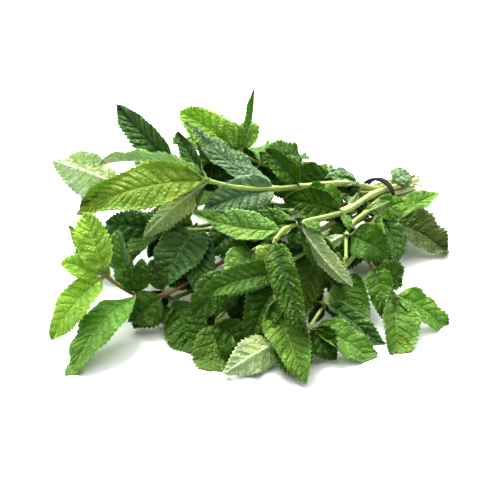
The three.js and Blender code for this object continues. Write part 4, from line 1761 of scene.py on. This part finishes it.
print("a leaf lets through up to", max(kind.clear for kind in KINDS.values()), "of the light")

# %% [markdown]
# ## Surface of a stem
# The stems are pale and juicy near the roots, and greener or browner towards the tip. Fine darker
# lines run along them. A noise that is stretched along the chart makes such lines without any
# picture.

# %% stem material
LINES_STRETCH = (0.15, 5.0, 1.0)
LINES_SIZE = 3.0
LINES = (0.4, 0.62)
LINES_DARK = (0.66, 0.68, 0.5, 1.0)
LINES_BUMP = 0.0002


def stem_material():
    material, start = new_material("mint_stem_skin")
    tone = painted(start, "tone")
    stretch = {"Vector": chart_map(start), "Scale": LINES_STRETCH}
    lines = noise(start.node("ShaderNodeMapping", None, stretch), LINES_SIZE, 3.0)
    shade = lines.ramp(*LINES).mix(tinted(tone, LINES_DARK), tone)
    finish = {"Base Color": shade, "Roughness": 0.48, "Normal": bumped(lines, LINES_BUMP, 0.5)}
    show(start, skin_of(start, finish))
    return material


print("noise cells round a stem:", round(2 * math.pi * LINES_STRETCH[1] * LINES_SIZE))

# %% [markdown]
# ## Surface of the band
# The band's woven cover shows as slanting ribs: a sine that counts along the cord and round it.
# Threads in the mesh would be truer, but they are too fine to be seen one by one.

# %% band material
RIBS_ALONG = 9.0
RIBS_AROUND = 2.0
BAND_DARK = (0.006, 0.006, 0.008, 1.0)
BAND_LIGHT = (0.03, 0.031, 0.04, 1.0)
BAND_BUMP = 0.0002


def band_material():
    material, start = new_material("band_weave")
    along = split(chart_map(start))
    ribs = start.math("SINE", along * RIBS_ALONG + along.also(1) * RIBS_AROUND)
    shade = ribs.ramp(-1.0, 1.0).mix(BAND_DARK, BAND_LIGHT)
    finish = {"Base Color": shade, "Roughness": 0.5, "Normal": bumped(ribs, BAND_BUMP, 0.6)}
    show(start, skin_of(start, finish))
    return material


print("distance between ribs in mm:", round(2 * math.pi / RIBS_ALONG, 2))

# %% [markdown]
# ## Dressing the frame
# Each sprig's solid is replaced by its stem, its leaves and its withered stalks in one piece. The
# band's solid is replaced by the ribbed cord. All of them ride on the one body of the bunch. One
# piece for the whole bunch would be simpler, but then no sprig could be told from its neighbour.

# %% dress the frame
materials = [leaf_material(), stem_material(), band_material()]
seed = 0
for name, sprig in SPRIGS.items():
    shells = stem_shells(sprig, cuts[name], seed)
    for leaf in leaves[name] + small_leaves[name]:
        seed += 1
        shells.append(leaf_shell(leaf, seed, colour(sprig.stem[1])))
    for ahead, reach, half, code in STRANDS.get(name, ()):
        seed += 1
        shells.append(strand_shell(slot_point(sprig.slot, ahead), reach, half, code, seed))
    piece = join_shells(name + "_fine", shells, materials)
    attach(piece, "root")
    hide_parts(name)
    print(name, "faces:", len(piece.data.polygons))
band = join_shells("elastic_band_fine", [band_shell()], materials)
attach(band, "root")
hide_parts("elastic_band")

# %% [markdown]
# ## Floor
# A plain pale floor, as a white table. It is part of the stage and not of the bunch. One face is
# enough, because only the light and the shadows on it are seen.

# %% floor
FLOOR_HALF = 3.0
FLOOR_WHITE = (0.9, 0.9, 0.91, 1.0)

floor_mesh = bpy.data.meshes.new("floor")
corners = [(x * FLOOR_HALF, y * FLOOR_HALF, 0) for x, y in ((-1, -1), (1, -1), (1, 1), (-1, 1))]
floor_mesh.from_pydata(corners, [], [(0, 1, 2, 3)])
floor = bpy.data.objects.new("floor", floor_mesh)
scene = bpy.context.scene
scene.collection.objects.link(floor)
floor_material, start = new_material("pale_floor")
show(start, skin_of(start, {"Base Color": FLOOR_WHITE, "Roughness": 0.6}))
floor_mesh.materials.append(floor_material)
print("floor is", 2 * FLOOR_HALF, "m wide")

# %% [markdown]
# ## Light
# A bright even room, with one large soft light above, a smaller one like a window at the back left,
# and a low one behind that shines through the leaves. One strong lamp would be simpler, but it would
# give hard shadows that a white table by a window doesn't have.

# %% light
ROOM_BRIGHT = 0.37
LIGHTS = {
    "sky": ((0.0, 0.2, 1.5), 2.4, 19.0),
    "window": ((-0.45, 0.75, 1.35), 0.8, 26.0),
    "back": ((0.15, 1.36, 0.85), 1.0, 12.0),
}


def soft_light(name, place, size, power):
    data = bpy.data.lights.new(name, "AREA")
    data.shape = "DISK"
    data.size = size
    data.energy = power
    lamp = bpy.data.objects.new(name, data)
    lamp.location = place
    lamp.rotation_mode = "QUATERNION"
    lamp.rotation_quaternion = Vector(place).to_track_quat("Z", "Y")
    scene.collection.objects.link(lamp)


world = bpy.data.worlds.new("room")
world.use_nodes = True
background = world.node_tree.nodes["Background"]
background.inputs["Color"].default_value = (1.0, 1.0, 1.0, 1.0)
background.inputs["Strength"].default_value = ROOM_BRIGHT
scene.world = world
for name, (place, size, power) in LIGHTS.items():
    soft_light(name, place, size, power)
scene.view_settings.view_transform = "Standard"
scene.view_settings.look = "High Contrast"
print("lights:", ", ".join(LIGHTS))

# %% [markdown]
# ## End of the scene
